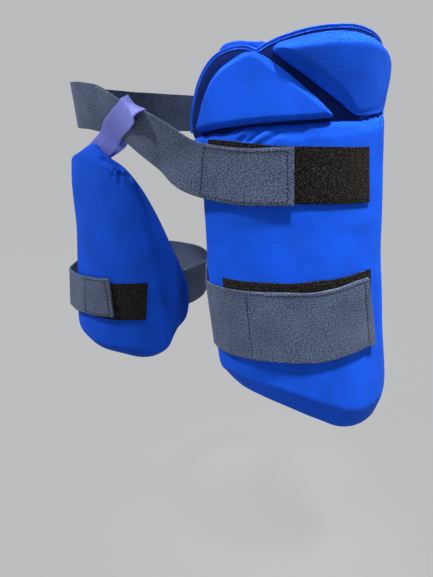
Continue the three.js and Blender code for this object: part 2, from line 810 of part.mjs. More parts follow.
// Webbing hanger: both legs are sewn behind the inner guard's top edge, and the fold lies over the belt
function webbingLoop() {
  const beltLength = belt.middle.getLength();
  const clear = elasticThickness / 2 + webbingClearance + webbingThickness / 2;
  const topEdge = beltWidth / 2;
  const onBelt = (slant, rise, lift) => {
    const { at, across, out } = beltStation((hangerReach + slant * hangerSlant) / beltLength);
    return at.addScaledVector(across, rise * topEdge).addScaledVector(out, lift * clear);
  };
  const innerSide = innerBackRadius - facetSag - seatGap - webbingThickness / 2 - webbingBow;
  const legStep = webbingThickness + webbingClearance;
  const foot = (leg, tuck) =>
    innerForm.atAngle(
      webbingFootAngle - tuck * webbingFootSwing,
      innerTopLevel - webbingFootDrop - tuck * webbingReach,
      innerSide - leg * legStep,
    );
  const path = [
    foot(0, 1),
    foot(0, 0.2),
    onBelt(0.95, -1.25, 1.35),
    onBelt(0.7, -0.6, 1.35),
    onBelt(0.42, 0, 1.2),
    onBelt(0.16, 0.6, 1.2),
    onBelt(0.03, 0.98, 1.1),
    onBelt(0, 1 + webbingFoldRise / topEdge, 0),
    onBelt(0.03, 0.98, -1.1),
    onBelt(0.16, 0.6, -1.2),
    onBelt(0.42, 0, -1.2),
    onBelt(0.7, -0.6, -1.35),
    onBelt(0.95, -1.25, -1.6),
    foot(1, 0.2),
    foot(1, 1),
  ];
  const curve = new THREE.CatmullRomCurve3(path, false, "centripetal");
  const beltWay = onBelt(0, 0, 0).sub(onBelt(0.4, 0, 0)).normalize();
  const footWay = innerForm
    .atAngle(webbingFootAngle + webbingFootSwing, innerTopLevel - webbingFootDrop, innerSide)
    .sub(innerForm.atAngle(webbingFootAngle - webbingFootSwing, innerTopLevel, innerSide))
    .normalize();
  const stations = Array.from({ length: webbingSteps + 1 }, (_, index) => {
    const share = index / webbingSteps;
    const at = curve.getPointAt(share);
    const along = curve.getTangentAt(share);
    const turned = THREE.MathUtils.smoothstep(Math.abs(share - 0.5), 0.24, 0.42);
    const wanted = beltWay.clone().lerp(footWay, turned);
    const across = wanted.addScaledVector(along, -wanted.dot(along)).normalize();
    return { at, across, out: new THREE.Vector3().crossVectors(along, across).normalize() };
  });
  return sweptSolid(stations, strapSection(webbingWidth, webbingThickness));
}

addPiece("webbing_loop", webbingLoop(), "webbing");

export default model;
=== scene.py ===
"""A cricket thigh guard in its worn form: foam guards under cloth, elastic straps, loop patches, webbing."""

import logging
import math
from contextlib import contextmanager
from dataclasses import dataclass, field
from enum import Enum
from typing import Callable, Iterator, Optional, Sequence

import bpy
import numpy as np
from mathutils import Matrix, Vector, noise


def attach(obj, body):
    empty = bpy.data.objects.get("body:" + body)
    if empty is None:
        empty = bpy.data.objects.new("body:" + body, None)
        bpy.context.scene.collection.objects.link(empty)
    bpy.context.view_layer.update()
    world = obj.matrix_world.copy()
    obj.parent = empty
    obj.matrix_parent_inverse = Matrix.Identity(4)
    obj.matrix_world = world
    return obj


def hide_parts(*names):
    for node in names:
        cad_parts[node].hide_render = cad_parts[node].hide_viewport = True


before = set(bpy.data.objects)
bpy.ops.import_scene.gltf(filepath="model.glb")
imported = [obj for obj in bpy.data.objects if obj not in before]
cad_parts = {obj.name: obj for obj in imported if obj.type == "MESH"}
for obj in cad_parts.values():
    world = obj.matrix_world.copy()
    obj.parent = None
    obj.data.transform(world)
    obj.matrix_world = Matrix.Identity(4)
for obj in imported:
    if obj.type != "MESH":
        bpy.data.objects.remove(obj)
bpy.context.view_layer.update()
LOG = logging.getLogger("thigh_guard")
MM = 0.001
NOISE_GAIN = 1.6

Array = np.ndarray
Rows = Sequence[Sequence[float]]
Colour = tuple[float, float, float]
FaceRelief = Callable[[Array, Array], Array]
BandRelief = Callable[[Array, Array, Array], Array]


# Small helpers


def deselect_all() -> None:
    """Leaves nothing selected, so that the next operator acts on its own object only."""
    bpy.ops.object.select_all(action="DESELECT")


def pick(obj: bpy.types.Object) -> None:
    """Selects one object alone and makes it active."""
    deselect_all()
    obj.select_set(True)
    bpy.context.view_layer.objects.active = obj


@contextmanager
def shaping(obj: bpy.types.Object) -> Iterator[None]:
    """Opens a mesh in edit mode with all of it selected, and closes it at the end."""
    bpy.context.view_layer.objects.active = obj
    bpy.ops.object.mode_set(mode="EDIT")
    bpy.ops.mesh.select_all(action="SELECT")
    yield
    bpy.ops.object.mode_set(mode="OBJECT")


def read_rows(rows: bpy.types.bpy_prop_collection, key: str) -> Array:
    """Reads a three-part property of each of a mesh's rows, such as its vertices."""
    flat = np.empty(len(rows) * 3)
    rows.foreach_get(key, flat)
    return flat.reshape(-1, 3)


def read_points(obj: bpy.types.Object) -> Array:
    """A mesh's vertices in millimetres, one row each."""
    return read_rows(obj.data.vertices, "co") / MM


def write_points(obj: bpy.types.Object, points: Array) -> None:
    """Moves a mesh's vertices to places in millimetres, one row each."""
    obj.data.vertices.foreach_set("co", (points * MM).ravel())
    obj.data.update()


def smoothstep(low: float | Array, high: float | Array, value: Array) -> Array:
    """A soft step from 0 at low to 1 at high."""
    share = np.clip((value - low) / (high - low), 0, 1)
    return share * share * (3 - 2 * share)


def hump(value: Array, width: float) -> Array:
    """A soft hump of height 1 at 0, about as wide as width to each side."""
    return np.exp(-((value / width) ** 2))


def softened(value: Array, radius: float) -> Array:
    """The smaller of value and 1, with the corner between them rounded over radius."""
    return (value + 1 - np.sqrt((value - 1) ** 2 + radius**2)) / 2


def unit(vectors: Array) -> Array:
    """Scales each row to length 1."""
    return vectors / np.linalg.norm(vectors, axis=-1, keepdims=True)


def squared_to(way: Array, wanted: Array) -> Array:
    """The unit directions nearest to wanted that stand square to way, row by row."""
    return unit(wanted - way * np.sum(wanted * way, axis=1, keepdims=True))


def run_through(points: Rows, closed: bool = False, steps: int = 12) -> Array:
    """A dense smooth line through points, on a centripetal Catmull-Rom curve.

    Args:
        points: the points that it passes, one row each.
        closed: whether it returns to its first point.
        steps: how many stretches lie between two points.

    Returns:
        The line's points; a closed line leaves out the last one, which is the first.
    """
    points = np.asarray(points, dtype=float)
    count = len(points)
    t = np.linspace(0, 1, steps, endpoint=False)[:, None]
    lines = []
    for index in range(count if closed else count - 1):
        p1, p2 = points[index], points[(index + 1) % count]
        p0 = points[index - 1] if closed or index else 2 * p1 - p2
        p3 = points[(index + 2) % count] if closed or index + 2 < count else 2 * p2 - p1
        gaps = [max(np.linalg.norm(b - a) ** 0.5, 1e-4) for a, b in ((p0, p1), (p1, p2), (p2, p3))]
        way1 = ((p1 - p0) / gaps[0] - (p2 - p0) / (gaps[0] + gaps[1]) + (p2 - p1) / gaps[1]) * gaps[1]
        way2 = ((p2 - p1) / gaps[1] - (p3 - p1) / (gaps[1] + gaps[2]) + (p3 - p2) / gaps[2]) * gaps[1]
        lines.append(
            p1 + way1 * t + (3 * (p2 - p1) - 2 * way1 - way2) * t**2 + (way1 + way2 - 2 * (p2 - p1)) * t**3
        )
    if not closed:
        lines.append(points[-1:])
    return np.concatenate(lines)


def lengths_along(line: Array) -> Array:
    """The distance from the line's start to each of its points."""
    steps = np.linalg.norm(np.diff(line, axis=0), axis=1)
    return np.concatenate([[0], np.cumsum(steps)])


def read_at(line: Array, places: Array, at: Array) -> Array:
    """Reads the line's rows, each at its own rising place, at the wanted places."""
    return np.stack([np.interp(at, places, line[:, column]) for column in range(line.shape[1])], axis=-1)


def even_shares(count: int, gather: float = 0.0) -> Array:
    """Shares from 0 to 1 in count steps, drawn towards both ends by gather."""
    share = np.linspace(0, 1, count + 1)
    return share - gather * np.sin(2 * np.pi * share) / (2 * np.pi)


def scaled(rows: Rows, spans: Sequence[float], level: float) -> Array:
    """A table of shares times each column's span, with its second column counted from level."""
    return np.array(rows) * spans + np.eye(1, len(spans), 1) * level


def eased(rows: Rows, column: int, at: Array) -> Array:
    """Reads a table's column between its rows with soft steps.

    Args:
        rows: the table, its first column rising.
        column: the wanted column.
        at: the wanted places in the first column.

    Returns:
        The values.
    """
    table = np.array(rows, dtype=float)
    after = np.clip(np.searchsorted(table[:, 0], at, side="left"), 1, len(table) - 1)
    low, high = table[after - 1], table[after]
    return low[:, column] + (high[:, column] - low[:, column]) * smoothstep(low[:, 0], high[:, 0], at)


def mottle(one_way: Array, other_way: Array, size: float, seed: float) -> Array:
    """Soft random height, from about -1 to 1, over features of a size; seed moves the pattern."""
    places = zip(one_way / size, other_way / size)
    return np.array([noise.noise(Vector((x, y, seed))) for x, y in places]) * NOISE_GAIN


# Sizes and bent forms


@dataclass(frozen=True)
class BentForm:
    """A guard's bent form: level circular sections about an axis that leans sideways.

    Angles are degrees from the form's own front, arcs are millimetres along its face.
    """

    centre_x: float
    centre_y: float
    level: float
    lean: float
    turn: float
    face_radius: float
    heading: float = math.radians(20)

    def middle(self, height: Array) -> tuple[Array, Array]:
        """The axis' place at a height."""
        shift = self.lean * (self.level - np.asarray(height, dtype=float))
        return self.centre_x + shift * math.cos(self.heading), self.centre_y + shift * math.sin(self.heading)

    def degrees(self, arc: Array) -> Array:
        """The angle of an arc."""
        return np.degrees(np.asarray(arc, dtype=float) / self.face_radius)

    def at_angle(self, angle: Array, height: Array, radius: Array) -> Array:
        """Points round the form.

        Args:
            angle: their angles.
            height: their heights.
            radius: their distances from the axis.

        Returns:
            The points, one row each.
        """
        x, y = self.middle(height)
        bearing = np.radians(self.turn + np.asarray(angle, dtype=float))
        place = [x + radius * np.sin(bearing), y - radius * np.cos(bearing), np.asarray(height, dtype=float)]
        return np.stack(np.broadcast_arrays(*place), axis=-1)

    def at_arc(self, arc: Array, height: Array, radius: Array) -> Array:
        """Points at arcs, heights and radii, one row each."""
        return self.at_angle(self.degrees(arc), height, radius)

    def laid_out(self, points: Array) -> tuple[Array, Array, Array]:
        """The form's own measures of points.

        Args:
            points: the points, one row each.

        Returns:
            Their arcs, heights and radii.
        """
        x, y = self.middle(points[:, 2])
        across, deep = points[:, 0] - x, points[:, 1] - y
        angle = (np.degrees(np.arctan2(across, -deep)) - self.turn + 180) % 360 - 180
        return np.radians(angle) * self.face_radius, points[:, 2], np.hypot(across, deep)

    def axes_at(self, angle: Array, height: Array, radius: Array) -> tuple[Array, Array, Array]:
        """A strap's stations round the form.

        Args:
            angle: their angles.
            height: their heights.
            radius: their distances from the axis.

        Returns:
            Their places, upward directions and outward directions, one row each.
        """
        at = self.at_angle(angle, height, radius)
        up = unit(self.at_angle(angle, np.asarray(height) + 1.0, radius) - at)
        return at, up, unit(self.at_angle(angle, height, np.asarray(radius) + 1.0) - at)


@dataclass(frozen=True)
class OuterSizes:
    """The outer guard's sizes in millimetres."""

    half_arc: float = 110
    height: float = 326
    bevel: float = 30
    top_bevel: float = 0.36
    thickness: float = 22
    rim: float = 10
    seam_level: float = 9.5
    seam_slope: float = 8.5
    seam_crown: float = 4
    seam_ends: tuple[float, float] = (-1.01, 0.99)
    band_height: float = 5.4
    band_thickness: float = 9
    flap_rise: float = 80
    flap_half_angle: float = 60
    flange_step: float = 8
    flange_thickness: float = 6
    flange_bevel: float = 4
    lining_height: float = 14
    lining_thickness: float = 7
    lining_depth: float = 17.5
    block_height: float = 9.5
    block_rim: float = 3
    block_bevel: float = 10
    block_lift: float = 0.8
    binding_width: float = 5
    binding_thickness: float = 7
    seat: float = 0.3
    patch_width: float = 50

    def seam(self, arc: Array) -> Array:
        """The seam's height at an arc."""
        share = np.asarray(arc) / self.half_arc
        return self.seam_level + self.seam_slope * share - self.seam_crown * share * share


@dataclass(frozen=True)
class InnerSizes:
    """The inner guard's sizes in millimetres."""

    half_angle: float = 52
    height: float = 260
    top: float = -10
    bevel: float = 16
    thickness: float = 13
    rim: float = 5
    patch_width: float = 47


@dataclass(frozen=True)
class BandSizes:
    """What all straps and patches share, in millimetres."""

    thickness: float = 2.5
    patch: float = 2
    lay: float = 0.55
    tuck: float = 0.8
    belt_level: float = -33
    outer_level: float = -180
    inner_level: float = -185

    @property
    def seat(self) -> float:
        """From a guard's face to the middle of a strap over a patch."""
        return self.lay + self.patch + self.lay + self.thickness / 2

    @property
    def patch_middle(self) -> float:
        """From a guard's face to the middle of a patch."""
        return self.lay + self.patch / 2


OUTER = OuterSizes()
INNER = InnerSizes()
BAND = BandSizes()
OUTER_FORM = BentForm(97, 1, -100, 0.123, 20, 122)
INNER_FORM = BentForm(-89, 4, -150, -0.09, 10, 98)
OUTER_BACK = OUTER_FORM.face_radius - OUTER.thickness
INNER_BACK = INNER_FORM.face_radius - INNER.thickness
INNER_ARC = math.radians(INNER.half_angle) * INNER_FORM.face_radius


# Shader maths


class Tone:
    """A socket of a material's nodes that Python's operators work on."""

    def __init__(self, bench: "DyeBench", socket: bpy.types.NodeSocket) -> None:
        """Wraps a socket of one bench's node tree."""
        self.bench = bench
        self.socket = socket

    def _maths(self, operation: str, other: "Tone | float" = 0.0) -> "Tone":
        """Adds one Math node."""
        return self.bench.node("ShaderNodeMath", {"operation": operation}, {0: self, 1: other})

    def __add__(self, other: "Tone | float") -> "Tone":
        """Adds."""
        return self._maths("ADD", other)

    def __mul__(self, other: "Tone | float") -> "Tone":
        """Multiplies."""
        return self._maths("MULTIPLY", other)

    __radd__ = __add__
    __rmul__ = __mul__

    def sine(self) -> "Tone":
        """The sine, from -1 to 1."""
        return self._maths("SINE")

    def size(self) -> "Tone":
        """The value without its sign."""
        return self._maths("ABSOLUTE")

    def step(self, low: float, high: float) -> "Tone":
        """A soft step from 0 at low to 1 at high."""
        return self.bench.node(
            "ShaderNodeMapRange",
            {"interpolation_type": "SMOOTHSTEP"},
            {"Value": self, "From Min": low, "From Max": high, "To Min": 0.0, "To Max": 1.0},
        )


class DyeBench:
    """A material and the one way in which nodes are added to it."""

    def __init__(self, name: str) -> None:
        """Starts an empty material of a name, with its surface shader."""
        self.material = bpy.data.materials.new(name)
        self.material.use_nodes = True
        self.tree = self.material.node_tree
        self.tree.nodes.clear()
        output = self.tree.nodes.new("ShaderNodeOutputMaterial")
        self.surface = self.tree.nodes.new("ShaderNodeBsdfPrincipled")
        self.tree.links.new(self.surface.outputs[0], output.inputs[0])

    def node(self, kind: str, settings: dict, sockets: dict, output: int | str = 0) -> Tone:
        """Adds a node.

        Args:
            kind: the node's type.
            settings: its own settings, set first.
            sockets: values or tones for its input sockets.
            output: the output that is wanted.

        Returns:
            The wanted output.
        """
        made = self.tree.nodes.new(kind)
        for key, value in settings.items():
            setattr(made, key, value)
        self.set_sockets(made, sockets)
        return Tone(self, made.outputs[output])

    def set_sockets(self, node: bpy.types.Node, sockets: dict) -> None:
        """Gives a node's input sockets their values or links.

        Args:
            node: the node.
            sockets: values or tones by the sockets' names or numbers.
        """
        for key, value in sockets.items():
            if isinstance(value, Tone):
                self.tree.links.new(value.socket, node.inputs[key])
            else:
                node.inputs[key].default_value = value

    def cloth_place(self, scale: tuple[float, float] = (1.0, 1.0)) -> Tone:
        """The piece's own lay of the cloth in millimetres, stretched by scale."""
        lay = self.node("ShaderNodeUVMap", {"uv_map": "cloth"}, {})
        stretch = (scale[0] / MM, scale[1] / MM, 1.0)
        return self.node("ShaderNodeMapping", {}, {"Vector": lay, "Scale": stretch})

    def grain(
        self, size: float, detail: float = 2.0, rough: float = 0.5, scale: tuple[float, float] = (1.0, 1.0)
    ) -> Tone:
        """Random grain whose features are size millimetres wide, in the cloth's lay stretched by scale."""
        place = self.cloth_place(scale)
        sockets = {"Vector": place, "Scale": 1.0 / size, "Detail": detail, "Roughness": rough}
        return self.node("ShaderNodeTexNoise", {"noise_dimensions": "2D"}, sockets)

    def blend(self, factor: Tone, colour: Colour, low: float, high: float) -> Tone:
        """Goes from low times a colour to high times it."""
        return self.mix(factor, tint(colour, low), tint(colour, high))

    def mix(self, factor: Tone, first: Sequence[float], second: Sequence[float]) -> Tone:
        """Mixes two colours by a factor."""
        return self.node("ShaderNodeMix", {"data_type": "RGBA"}, {0: factor, 6: first, 7: second}, output=2)

    def finish(
        self,
        colour: Tone,
        roughness: Tone | float,
        sheen: float,
        sheen_tint: Colour,
        height: Optional[Tone] = None,
        depth: float = 0.0,
    ) -> bpy.types.Material:
        """Wires the surface shader.

        Args:
            colour: the base colour.
            roughness: the roughness.
            sheen: the cloth's sheen.
            sheen_tint: the sheen's colour.
            height: the fine relief, in millimetres, or None.
            depth: how strongly the relief shows.

        Returns:
            The finished material.
        """
        sockets = {
            "Base Color": colour,
            "Roughness": roughness,
            "Specular IOR Level": 0.12,
            "Sheen Weight": sheen,
            "Sheen Roughness": 0.4,
            "Sheen Tint": (*sheen_tint, 1.0),
        }
        if height is not None:
            relief = {"Height": height, "Strength": depth, "Distance": MM}
            sockets["Normal"] = self.node("ShaderNodeBump", {}, relief)
        self.set_sockets(self.surface, sockets)
        return self.material


def tint(colour: Colour, factor: float) -> tuple[float, float, float, float]:
    """A colour made lighter or darker by a factor, with full alpha."""
    return (*(min(channel * factor, 1.0) for channel in colour), 1.0)


@dataclass(frozen=True)
class PadCloth:
    """Fine-knit cloth over moulded foam, matt, with a faint rib and a little mottling."""

    name: str
    colour: Colour
    sheen: float = 0.06

    def dress(self) -> bpy.types.Material:
        """Makes the material."""
        bench = DyeBench(self.name)
        knit = bench.grain(0.9, 3.0, 0.6, (1.0, 0.45))
        cross = bench.grain(1.7)
        shade = knit * 0.45 + cross * 0.25 + bench.grain(38.0) * 0.3
        colour = bench.blend(shade.step(0.33, 0.67), self.colour, 0.80, 1.22)
        relief = knit * 0.6 + cross * 0.4
        return bench.finish(colour, 0.78 + knit * 0.16, self.sheen, (0.1, 0.4, 1.0), relief, 0.35)


@dataclass(frozen=True)
class BindingTape:
    """Rolled edge binding, a little lighter on its two rolls, with the fine cross ribs of a tape."""

    name: str = "binding_tape"
    colour: Colour = (0.016, 0.13, 0.82)

    def dress(self) -> bpy.types.Material:
        """Makes the material."""
        bench = DyeBench(self.name)
        ribs = bench.grain(0.7, scale=(1.0, 0.15))
        shade = ribs * 0.6 + bench.grain(9.0) * 0.4
        colour = bench.blend(shade.step(0.3, 0.7), self.colour, 0.7, 1.3)
        return bench.finish(colour, 0.7, 0.15, (0.4, 0.55, 1.0), ribs, 0.5)


@dataclass(frozen=True)
class BrushedElastic:
    """Grey-navy elastic with a brushed face: pale specks of pile over dark ribs across the band."""

    name: str = "brushed_elastic"
    dark: Colour = (0.011, 0.018, 0.040)
    pale: Colour = (0.145, 0.185, 0.30)

    def dress(self) -> bpy.types.Material:
        """Makes the material."""
        bench = DyeBench(self.name)
        pile = bench.grain(0.62, 2.0, 0.6)
        fibres = bench.grain(1.3, 1.0, 0.5, (0.7, 1.0))
        shade = pile * 0.62 + fibres * 0.3 + bench.grain(30.0) * 0.08
        colour = bench.mix(shade.step(0.40, 0.63), tint(self.dark, 1), tint(self.pale, 1))
        return bench.finish(colour, 0.95, 0.1, (0.7, 0.75, 1.0), pile * 0.8 + fibres * 0.2, 0.8)


@dataclass(frozen=True)
class LoopPile:
    """Black fuzzy loop pile with brown specks where the light catches it."""

    name: str = "loop_pile"
    dark: Colour = (0.0034, 0.0032, 0.0032)
    brown: Colour = (0.088, 0.078, 0.07)

    def dress(self) -> bpy.types.Material:
        """Makes the material."""
        bench = DyeBench(self.name)
        fuzz = bench.grain(1.1, 2.0, 0.6)
        shade = fuzz * 0.82 + bench.grain(4.0) * 0.18
        colour = bench.mix(shade.step(0.55, 0.69), tint(self.dark, 1), tint(self.brown, 1))
        return bench.finish(colour, 0.97, 0.05, (0.8, 0.65, 0.5), fuzz, 1.0)


@dataclass(frozen=True)
class RibbedWebbing:
    """Blue-violet webbing: painted shade darkens the grooves between its ribs and leaves their crowns light, and fine
    weft threads cross them.
    """

    name: str = "ribbed_webbing"
    colour: Colour = (0.20, 0.23, 0.68)
    rib: float = 25 / 15
    weft: float = 1.1

    def dress(self) -> bpy.types.Material:
        """Makes the material."""
        bench = DyeBench(self.name)
        lay = {"Vector": bench.cloth_place()}
        along, across = (bench.node("ShaderNodeSeparateXYZ", {}, lay, output=axis) for axis in (0, 1))
        # Painted shade: the colour runs dark in the grooves between the ribs and light on their crowns.
        crown = (across * (math.pi / self.rib)).sine().size()
        weft = (along * (2 * math.pi / self.weft)).sine() * 0.5 + 0.5
        thread = bench.grain(1.0, scale=(0.4, 1.6))
        shade = crown.step(0.15, 0.65) * 0.66 + weft * 0.14 + thread * 0.26
        colour = bench.blend(shade.step(0.2, 0.9), self.colour, 0.06, 1.5)
        return bench.finish(colour, 0.62, 0.1, (0.6, 0.6, 1.0), weft * 0.3 + thread * 0.7, 0.5)


@dataclass(frozen=True)
class StitchThread:
    """Dull twisted sewing thread."""

    name: str
    colour: Colour

    def dress(self) -> bpy.types.Material:
        """Makes the material."""
        bench = DyeBench(self.name)
        place = bench.node("ShaderNodeTexCoord", {}, {}, output="Object")
        sockets = {"Vector": place, "Scale": 2200.0, "Detail": 1.0}
        twist = bench.node("ShaderNodeTexNoise", {"noise_dimensions": "3D"}, sockets)
        return bench.finish(bench.blend(twist.step(0.3, 0.7), self.colour, 0.6, 1.4), 0.75, 0.1, (1.0, 1.0, 1.0))


class Finish(Enum):
    """Every finish of the guard, with the record's material slot that it belongs to."""

    ROYAL = ("pad_cloth", PadCloth("royal_knit", (0.0042, 0.074, 0.61)))
    # Painted shade: the royal knit made darker for the inner pad, which lies in shade.
    DEEP = ("pad_cloth", PadCloth("painted_shade_royal_knit", (0.0026, 0.056, 0.47)))
    # Painted shade: a near-black copy of the royal knit, without sheen, for the flap's sunk flange and the seam band,
    # which lie in shade between the pad and the blocks.
    NAVY = ("pad_cloth", PadCloth("painted_shade_knit", (0.0006, 0.010, 0.095), sheen=0.0))
    BINDING = ("binding_tape", BindingTape())
    ELASTIC = ("elastic_band", BrushedElastic())
    LOOP = ("loop_pile", LoopPile())
    WEBBING = ("hanger_webbing", RibbedWebbing())
    BLUE_THREAD = ("pad_cloth", StitchThread("blue_thread", (0.03, 0.09, 0.42)))
    NAVY_THREAD = ("elastic_band", StitchThread("navy_thread", (0.004, 0.005, 0.010)))
    BLACK_THREAD = ("loop_pile", StitchThread("black_thread", (0.012, 0.011, 0.010)))


# Slabs: the start of every pad and every strap


class Slab:
    """A closed sheet that starts as a flat grid, is pulled up into a slab and then bent into place."""

    def __init__(self, name: str, along: Array, across: Array, walls: int) -> None:
        """Makes the flat slab.

        Args:
            name: the piece's name.
            along: the grid lines' shares from the left to the right.
            across: the grid lines' shares from the bottom to the top.
            walls: the rows of faces in its side walls.
        """
        deselect_all()
        columns, rows = len(along) - 1, len(across) - 1
        bpy.ops.mesh.primitive_grid_add(x_subdivisions=columns, y_subdivisions=rows, size=1)
        self.obj = bpy.context.object
        self.obj.name = name
        with shaping(self.obj):
            for _ in range(walls):
                bpy.ops.mesh.extrude_region_move(TRANSFORM_OT_translate={"value": (0, 0, 1 / walls)})
        flat = read_points(self.obj) * MM
        self.s = along[np.rint((flat[:, 0] + 0.5) * columns).astype(int)]
        self.t = across[np.rint((flat[:, 1] + 0.5) * rows).astype(int)]
        self.w = np.clip(flat[:, 2], 0, 1)

    def bend(self, points: Array, lay: Array) -> bpy.types.Object:
        """Moves the slab's vertices into place and lays its cloth.

        Args:
            points: the vertices' places in millimetres.
            lay: the cloth's own flat place at each vertex, in millimetres.

        Returns:
            The object.
        """
        write_points(self.obj, points)
        mesh = self.obj.data
        corners = np.empty(len(mesh.loops), dtype=int)
        mesh.loops.foreach_get("vertex_index", corners)
        mesh.uv_layers[0].name = "cloth"
        mesh.uv_layers[0].data.foreach_set("uv", (lay[corners] * MM).ravel())
        with shaping(self.obj):
            bpy.ops.mesh.normals_make_consistent(inside=False)
        return self.obj


def subdivided(obj: bpy.types.Object) -> None:
    """Rounds a mesh with an applied Subdivision Surface."""
    pick(obj)
    soft = obj.modifiers.new("soft", "SUBSURF")
    soft.levels = soft.render_levels = 1
    bpy.ops.object.modifier_apply(modifier="soft")


def shaded(obj: bpy.types.Object, angle: float = 60) -> None:
    """Shades a mesh smooth where its faces meet at less than an angle in degrees."""
    pick(obj)
    bpy.ops.object.shade_smooth_by_angle(angle=math.radians(angle))


def swell(obj: bpy.types.Object, free: Array, reach: float, pressure: float = 4.0, frames: int = 14) -> None:
    """Lets the padding push the cloth out between the places that hold it down.

    Args:
        obj: the closed pad.
        free: how free each vertex is, from 0 where it is held to 1.
        reach: the furthest that a point moves, in millimetres.
        pressure: the padding's pressure.
        frames: how long it settles.
    """
    rest = read_points(obj)
    held = obj.vertex_groups.new(name="held")
    grip = np.round(1 - free, 1)
    for level in np.unique(grip):
        held.add(np.nonzero(grip == level)[0].tolist(), float(level), "REPLACE")
    cloth = obj.modifiers.new("swell", "CLOTH")
    cloth.settings.use_pressure = True
    cloth.settings.uniform_pressure_force = pressure
    cloth.settings.vertex_group_mass = "held"
    cloth.settings.effector_weights.gravity = 0
    cloth.settings.quality = 4
    cloth.collision_settings.use_collision = False
    cloth.point_cache.frame_start = 1
    cloth.point_cache.frame_end = frames
    for number in range(1, frames + 1):
        bpy.context.scene.frame_set(number)
    pushed = obj.evaluated_get(bpy.context.evaluated_depsgraph_get())
    moved = read_points(pushed) - rest
    furthest = np.linalg.norm(moved, axis=1).max()
    LOG.info("%s swells by %.1f mm, kept to %.1f mm", obj.name, furthest, reach)
    obj.modifiers.remove(cloth)
    obj.vertex_groups.clear()
    bpy.context.scene.frame_set(1)
    if np.isfinite(furthest) and furthest > 0:
        write_points(obj, rest + moved * min(1.0, reach / furthest))


@dataclass(frozen=True)
class Crease:
    """A soft ridge or a sunk fold in the cloth, along a line of arcs and heights in millimetres."""

    line: tuple[tuple[float, float], ...]
    width: float
    rise: float
    fade: float = 0.25

    def relief(self, arc: Array, height: Array) -> Array:
        """The cloth's rise.

        Args:
            arc: the places' arcs.
            height: the places' heights.

        Returns:
            The rise at each place, in millimetres.
        """
        line = run_through(self.line, steps=8)
        places = lengths_along(line) / lengths_along(line)[-1]
        best = np.full(len(arc), np.inf)
        share = np.zeros(len(arc))
        for (ax, ay), (bx, by), low, high in zip(line[:-1], line[1:], places[:-1], places[1:]):
            dx, dy = bx - ax, by - ay
            along = np.clip(((arc - ax) * dx + (height - ay) * dy) / (dx * dx + dy * dy), 0, 1)
            gap = np.hypot(arc - ax - along * dx, height - ay - along * dy)
            share = np.where(gap < best, low + (high - low) * along, share)
            best = np.minimum(gap, best)
        ends = smoothstep(0, self.fade, share) * smoothstep(1, 1 - self.fade, share)
        return self.rise * hump(best, self.width) * ends


def creased(creases: Sequence[Crease], arc: Array, height: Array) -> Array:
    """The rise of several creases together."""
    return sum(crease.relief(arc, height) for crease in creases)


# Padded panels


